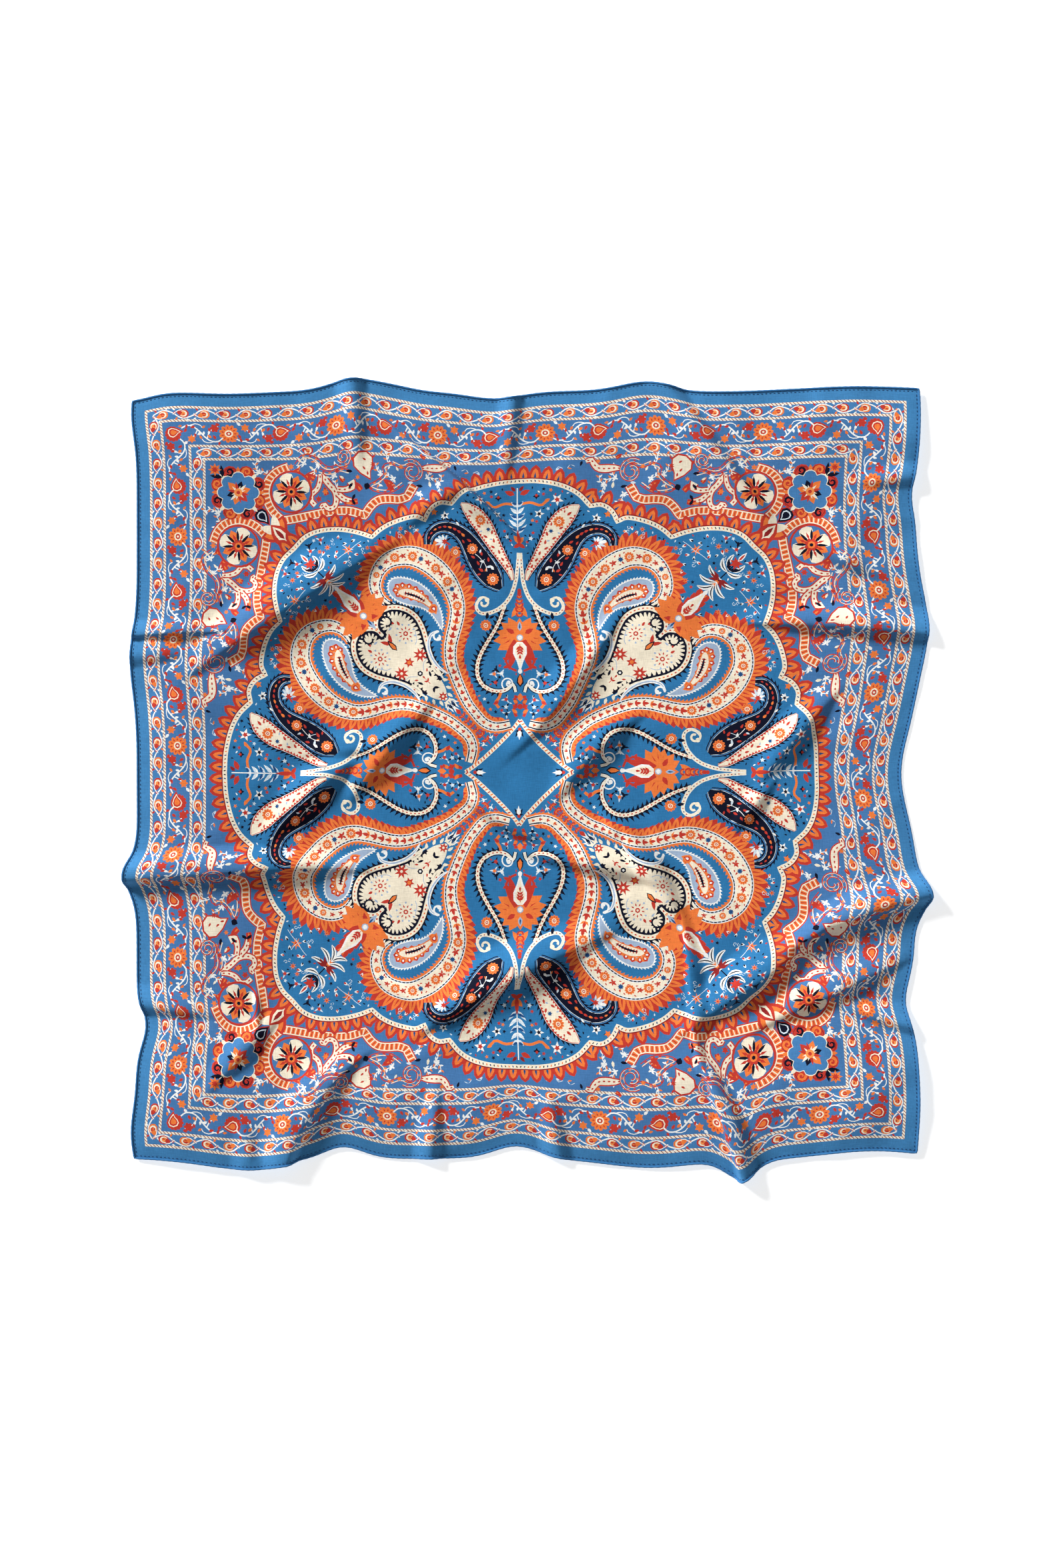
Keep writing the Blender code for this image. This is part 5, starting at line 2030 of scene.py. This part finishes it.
@dataclass(frozen=True)
class SilkFinish(Finish):
    """Woven silk, plain or printed; the printed one takes its colours from the mesh."""

    weave: float
    printed: bool = False

    def ink(self, bench: Bench, place: bpy.types.NodeSocket) -> bpy.types.NodeSocket:
        """Colour of the print, with red dashes on the inks whose alpha is one.

        Args:
            bench: where the nodes go.
            place: the cut's coordinates.

        Returns:
            The colour socket.
        """
        ink = bench.node("ShaderNodeAttribute", attribute_name="ink")
        split = bench.node("ShaderNodeSeparateXYZ", {0: place})
        wave = bench.math("PINGPONG", bench.math("ADD", split.outputs["X"], split.outputs["Y"]),
                          DASH_PITCH / 2)
        dash = bench.math("MULTIPLY", bench.math("LESS_THAN", wave, DASH_PITCH * DASH_SHARE),
                          ink.outputs["Alpha"])
        colours = {"Factor": dash, "A": ink.outputs["Color"], "B": (*linear(DASH_RED), 1.0)}
        return bench.node("ShaderNodeMix", colours, data_type="RGBA").outputs["Result"]

    def material(self, group: bpy.types.NodeTree) -> bpy.types.Material:
        """Make the material.

        Args:
            group: the weave.

        Returns:
            The material.
        """
        material, bench, shader = self.begin(SILK_SPECULAR)
        shader.inputs["Sheen Roughness"].default_value = SHEEN_SPREAD
        place = bench.node("ShaderNodeUVMap", uv_map="cut").outputs["UV"]
        weave = bench.node("ShaderNodeGroup", {"Vector": place}, node_tree=group)
        colour = self.ink(bench, place) if self.printed else self.tint
        tone = bench.math("MULTIPLY_ADD", weave.outputs["Tone"], self.weave, 1.0)
        shade = bench.node("ShaderNodeVectorMath", {0: colour, "Scale": tone}, operation="SCALE")
        bench.feed(shader.inputs["Base Color"], shade.outputs["Vector"])
        relief = {"Strength": WEAVE_RELIEF, "Distance": WEAVE_DEPTH, "Height": weave.outputs["Height"]}
        bench.feed(shader.inputs["Normal"], bench.node("ShaderNodeBump", relief).outputs["Normal"])
        return material


@dataclass(frozen=True)
class ThreadFinish(Finish):
    """Dark sewing silk with a small change of tone from stitch to stitch."""

    specular: float

    def material(self) -> bpy.types.Material:
        """Make the material."""
        material, bench, shader = self.begin(self.specular)
        place = bench.node("ShaderNodeTexCoord").outputs["Object"]
        noise = bench.node("ShaderNodeTexNoise", {"Vector": place, "Scale": THREAD_GRAIN})
        dark, light = ((*[share * c for c in self.tint], 1.0) for share in THREAD_TONES)
        tones = {"Factor": noise.outputs["Fac"], "A": dark, "B": light}
        tone = bench.node("ShaderNodeMix", tones, data_type="RGBA").outputs["Result"]
        bench.feed(shader.inputs["Base Color"], tone)
        return material


PRINTED = SilkFinish("printed_silk", (1.0, 1.0, 1.0), 0.78, 0.03, 0.42, True)
REVERSE = SilkFinish("silk_reverse", (0.30, 0.47, 0.66), 0.8, 0.05, 0.10)
HEM = SilkFinish("hem_silk", tuple(linear((58, 118, 172))), 0.75, 0.08, 0.4)
THREAD = ThreadFinish("hem_thread", tuple(linear((28, 66, 112))), 0.7, 0.1, 0.3)

# ---------------------------------------------------------------------------------------------
# Pieces
# ---------------------------------------------------------------------------------------------

TOP_LIFT = 0.95           # the printed face over the cloth's underside


def shown(name: str, mesh: bpy.types.Mesh) -> bpy.types.Object:
    """An object for a mesh, linked to the scene."""
    thing = bpy.data.objects.new(name, mesh)
    bpy.context.scene.collection.objects.link(thing)
    return thing


def mesh_of(name: str, places: Array, faces: Array, cut: Array, silk: bpy.types.Material) -> bpy.types.Mesh:
    """A smooth silk mesh in metres, with the cut's coordinates as its UV map.

    Args:
        name: name of the mesh.
        places: its vertices, in millimetres.
        faces: rows of vertex numbers.
        cut: the flat cut's coordinates of each vertex.
        silk: its material.

    Returns:
        The mesh.
    """
    mesh = bpy.data.meshes.new(name)
    mesh.from_pydata((places * MM).tolist(), [], faces.tolist())
    layer = mesh.uv_layers.new(name="cut")
    corner = np.empty(len(mesh.loops), int)
    mesh.loops.foreach_get("vertex_index", corner)
    layer.data.foreach_set("uv", (cut[corner] * MM).ravel())
    mesh.materials.append(silk)
    mesh.polygons.foreach_set("use_smooth", np.ones(len(faces), bool))
    return mesh


def run_of(loop: Array) -> Array:
    """From the place before to the place after each one of a closed loop."""
    return np.roll(loop, -1, axis=0) - np.roll(loop, 1, axis=0)


@dataclass
class SilkSquare:
    """The printed cloth: its face and its paler reverse."""

    face_silk: bpy.types.Material
    reverse_silk: bpy.types.Material
    reverse_lift: float = 0.1
    reverse_lines: int = 241
    medallion_reach: float = 350.0

    def face(self) -> list[bpy.types.Object]:
        """Lay the printed face in its folds.

        Returns:
            The medallion and the surround, in that order.
        """
        points, triangles, inks = printed_triangles(draw_print())
        start, *ends = (points[triangles[:, k]] for k in range(3))
        clockwise = np.cross(ends[0] - start, ends[1] - start) < 0
        triangles = np.where(clockwise[:, None], triangles[:, ::-1], triangles)
        places = CLOTH.places(points) + np.array([0.0, 0.0, TOP_LIFT])
        normal = CLOTH.normals(points)
        table = np.array([(*linear(ink.colour), float(ink is Ink.DASH)) for ink in Ink])
        middles = points[triangles].mean(axis=1)
        in_medallion = np.zeros(len(triangles), bool)
        near = np.abs(middles).max(axis=1) < self.medallion_reach
        in_medallion[near] = inside(middles[near], medallion_loop())
        pieces = []
        for name, chosen in (("printed_medallion", in_medallion), ("printed_surround", ~in_medallion)):
            used, faces = np.unique(triangles[chosen], return_inverse=True)
            mesh = mesh_of(name, places[used], faces.reshape(-1, 3), points[used], self.face_silk)
            layer = mesh.color_attributes.new("ink", "FLOAT_COLOR", "CORNER")
            layer.data.foreach_set("color", np.repeat(table[inks[chosen]], 3, axis=0).ravel())
            mesh.normals_split_custom_set_from_vertices(normal[used].tolist())
            pieces.append(shown(name, mesh))
        return pieces

    def reverse(self) -> bpy.types.Object:
        """Lay the paler wrong side, a plain grid just under the face."""
        n = self.reverse_lines
        lines = np.linspace(-PRINT_HALF, PRINT_HALF, n)
        cut = np.stack([a.ravel() for a in np.meshgrid(lines, lines)], axis=1)
        k = np.arange(n - 1)
        first = (k[:, None] * n + k).ravel()
        faces = np.stack([first, first + n, first + n + 1, first + 1], axis=1)
        places = CLOTH.places(cut) + np.array([0.0, 0.0, self.reverse_lift])
        mesh = mesh_of("silk_reverse", places, faces, cut, self.reverse_silk)
        mesh.normals_split_custom_set_from_vertices((-CLOTH.normals(cut)).tolist())
        return shown("silk_reverse", mesh)


@dataclass
class RolledHem:
    """The hand-rolled edge."""

    silk: bpy.types.Material
    radius: float = 1.25
    step: float = 1.7
    sides: int = 8
    overlap: float = 0.1      # how far the roll starts inside its seam
    plump_pitch: float = 6.8  # distance from stitch to stitch, between which the roll swells

    def build(self) -> bpy.types.Object:
        """Sweep the roll round the square, a little plumper between stitches."""
        inset = CUT_SIDE / 2 - PANEL_HALF - HEM_SEAM - self.overlap
        loop = square_rim(CUT_SIDE / 2 - inset, self.step)
        places = CLOTH.places(loop)
        n = len(loop)
        run = run_of(places)
        run[:, 2] = 0
        run /= np.linalg.norm(run, axis=1)[:, None]
        outward = np.stack([run[:, 1], -run[:, 0], np.zeros(n)], axis=1)
        angle = np.arange(self.sides) * 2 * math.pi / self.sides
        along = np.arange(n) * self.step
        swell = 0.08 * np.sin(along * 2 * math.pi / self.plump_pitch) + 0.02 * np.sin(along * 0.53)
        plump = (self.radius * (0.90 + swell))[:, None]
        centre = places + outward * HEM_RADIUS
        centre[:, 2] += self.radius
        rings = (centre[:, None, :] + outward[:, None, :] * (plump * np.cos(angle))[:, :, None]
                 + np.array([0, 0, 1.0]) * (plump * np.sin(angle))[:, :, None])
        index = np.arange(n * self.sides).reshape(n, self.sides)
        after, beside = np.roll(index, -1, axis=0), np.roll(index, -1, axis=1)
        faces = np.stack([index, after, np.roll(after, -1, axis=1), beside], axis=2).reshape(-1, 4)
        cut = np.stack([np.repeat(along, self.sides), np.tile(angle * self.radius, n)], axis=1)
        return shown("rolled_edge", mesh_of("rolled_edge", rings.reshape(-1, 3), faces, cut, self.silk))


def stitch_group() -> bpy.types.NodeTree:
    """Geometry nodes: a thread stitch on every point, laid along the point's own run."""
    group = bpy.data.node_groups.new("hem_stitches", "GeometryNodeTree")
    group.interface.new_socket("Geometry", in_out="INPUT", socket_type="NodeSocketGeometry")
    for name in ("Length", "Radius", "Spread"):
        group.interface.new_socket(name, in_out="INPUT", socket_type="NodeSocketFloat")
    group.interface.new_socket("Seed", in_out="INPUT", socket_type="NodeSocketInt")
    group.interface.new_socket("Thread", in_out="INPUT", socket_type="NodeSocketMaterial")
    group.interface.new_socket("Geometry", in_out="OUTPUT", socket_type="NodeSocketGeometry")
    bench = Bench(group)
    start = bench.node("NodeGroupInput").outputs
    ball = bench.node("GeometryNodeMeshUVSphere", {"Segments": 6, "Rings": 5, "Radius": 1.0})
    half = bench.math("MULTIPLY", start["Length"], 0.5)
    size = bench.node("ShaderNodeCombineXYZ", {"X": half, "Y": start["Radius"], "Z": start["Radius"]})
    stitch = bench.node("GeometryNodeTransform", {"Geometry": ball.outputs["Mesh"],
                                                  "Scale": size.outputs[0]})
    run = bench.node("GeometryNodeInputNamedAttribute", {"Name": "run"}, data_type="FLOAT_VECTOR")
    aim = bench.node("FunctionNodeAlignRotationToVector", {"Vector": run.outputs["Attribute"]}, axis="X")
    least = bench.math("SUBTRACT", 1.0, start["Spread"])
    vary = bench.node("FunctionNodeRandomValue", {2: least, 3: 1.0, "Seed": start["Seed"]},
                      data_type="FLOAT")
    row = bench.node("GeometryNodeInstanceOnPoints", {
        "Points": start["Geometry"], "Instance": stitch.outputs["Geometry"],
        "Rotation": aim.outputs["Rotation"], "Scale": vary.outputs[1],
    })
    real = bench.node("GeometryNodeRealizeInstances", {"Geometry": row.outputs["Instances"]})
    sewn = bench.node("GeometryNodeSetMaterial", {"Geometry": real.outputs["Geometry"],
                                                  "Material": start["Thread"]})
    bench.node("NodeGroupOutput", {"Geometry": sewn.outputs["Geometry"]})
    return group


@dataclass
class HemStitches:
    """The row of short stitches that holds the rolled edge down."""

    thread: bpy.types.Material
    pitch: float = 4.6
    length: float = 3.0
    radius: float = 0.42
    spread: float = 0.2       # how much smaller the smallest stitch is
    sunk: float = 0.6         # share of the radius that lies in the cloth
    inset: float = 4.4
    seed: int = 7

    def rows(self) -> bpy.types.Object:
        """One point for each stitch, on the face along the edge, with its direction."""
        places = CLOTH.places(square_rim(CUT_SIDE / 2 - self.inset, self.pitch))
        run = run_of(places)
        places[:, 2] += TOP_LIFT + (1 - self.sunk) * self.radius
        mesh = bpy.data.meshes.new("hem_stitches")
        mesh.from_pydata((places * MM).tolist(), [], [])
        layer = mesh.attributes.new("run", "FLOAT_VECTOR", "POINT")
        layer.data.foreach_set("vector", (run / np.linalg.norm(run, axis=1)[:, None]).ravel())
        return shown("hem_stitch_rows", mesh)

    def build(self) -> bpy.types.Object:
        """Sew a stitch on every point of the rows, and keep the result as a plain mesh."""
        rows = self.rows()
        sewing = rows.modifiers.new("hem_stitches", "NODES")
        sewing.node_group = stitch_group()
        wanted = {"Length": self.length * MM, "Radius": self.radius * MM, "Spread": self.spread,
                  "Seed": self.seed, "Thread": self.thread}
        for item in sewing.node_group.interface.items_tree:
            if item.in_out == "INPUT" and item.name in wanted:
                sewing[item.identifier] = wanted[item.name]
        plain = bpy.data.meshes.new_from_object(rows.evaluated_get(bpy.context.evaluated_depsgraph_get()))
        plain.name = "hem_stitches"
        rows.modifiers.clear()
        bpy.data.objects.remove(rows)
        if not plain.materials:
            plain.materials.append(self.thread)
        plain.polygons.foreach_set("use_smooth", np.ones(len(plain.polygons), bool))
        return shown("hem_stitches", plain)


# ---------------------------------------------------------------------------------------------
# Floor, lights and camera
# ---------------------------------------------------------------------------------------------


@dataclass
class Studio:
    """A pale floor, a soft key from the upper left, a bright white room and a camera."""

    floor_half: float = 12.0
    floor_glow: float = 0.55
    key_from: tuple[float, float, float] = (-1.0, 0.9, 0.62)
    key_strength: float = 4.6
    key_softness: float = 16.0
    room_strength: float = 0.30
    camera_at: tuple[float, float, float] = (-0.0057, -0.0046, 4.0)
    frame_height: float = 1.7405
    sensor: float = 36.0

    def floor(self) -> None:
        """Lay the floor."""
        h = self.floor_half
        mesh = bpy.data.meshes.new("floor")
        mesh.from_pydata([(-h, -h, 0), (h, -h, 0), (h, h, 0), (-h, h, 0)], [], [(0, 1, 2, 3)])
        material = bpy.data.materials.new("floor_paint")
        material.use_nodes = True
        inputs = material.node_tree.nodes["Principled BSDF"].inputs
        inputs["Base Color"].default_value = (0.97, 0.97, 0.97, 1.0)
        inputs["Roughness"].default_value = 0.9
        inputs["Emission Color"].default_value = (1.0, 1.0, 1.0, 1.0)
        inputs["Emission Strength"].default_value = self.floor_glow
        inputs["Specular IOR Level"].default_value = 0.1
        mesh.materials.append(material)
        shown("floor", mesh)

    def lights(self) -> None:
        """Hang the key and light the room."""
        sun = bpy.data.lights.new("key", "SUN")
        sun.energy = self.key_strength
        sun.angle = math.radians(self.key_softness)
        key = shown("key", sun)
        key.rotation_euler = (-Vector(self.key_from)).to_track_quat("-Z", "Y").to_euler()
        world = bpy.data.worlds.new("studio")
        world.use_nodes = True
        room = world.node_tree.nodes["Background"].inputs
        room["Color"].default_value = (1.0, 1.0, 1.0, 1.0)
        room["Strength"].default_value = self.room_strength
        bpy.context.scene.world = world

    def camera(self) -> None:
        """Set the camera straight above the scarf, with a long lens."""
        data = bpy.data.cameras.new("camera")
        data.sensor_fit = "AUTO"
        data.sensor_width = self.sensor
        data.lens = self.sensor * self.camera_at[2] / self.frame_height
        data.clip_end = 50.0
        camera = shown("camera", data)
        camera.location = self.camera_at
        bpy.context.scene.camera = camera


def main() -> None:
    """Build the scarf and its scene."""
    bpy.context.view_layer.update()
    weave = weave_group()
    square = SilkSquare(PRINTED.material(weave), REVERSE.material(weave))
    printed = square.face()
    cloth_back = square.reverse()
    hem = RolledHem(HEM.material(weave)).build()
    stitches = HemStitches(THREAD.material()).build()
    for piece in (*printed, cloth_back, hem, stitches):
        log.info("%s: %d faces", piece.name, len(piece.data.polygons))
        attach(piece, "root")
    for piece in (*printed, cloth_back):
        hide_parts("silk_panel")
    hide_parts("rolled_hem")
    studio = Studio()
    studio.floor()
    studio.lights()
    studio.camera()
    bpy.context.scene.view_settings.view_transform = "Standard"


if __name__ == "__main__":
    main()
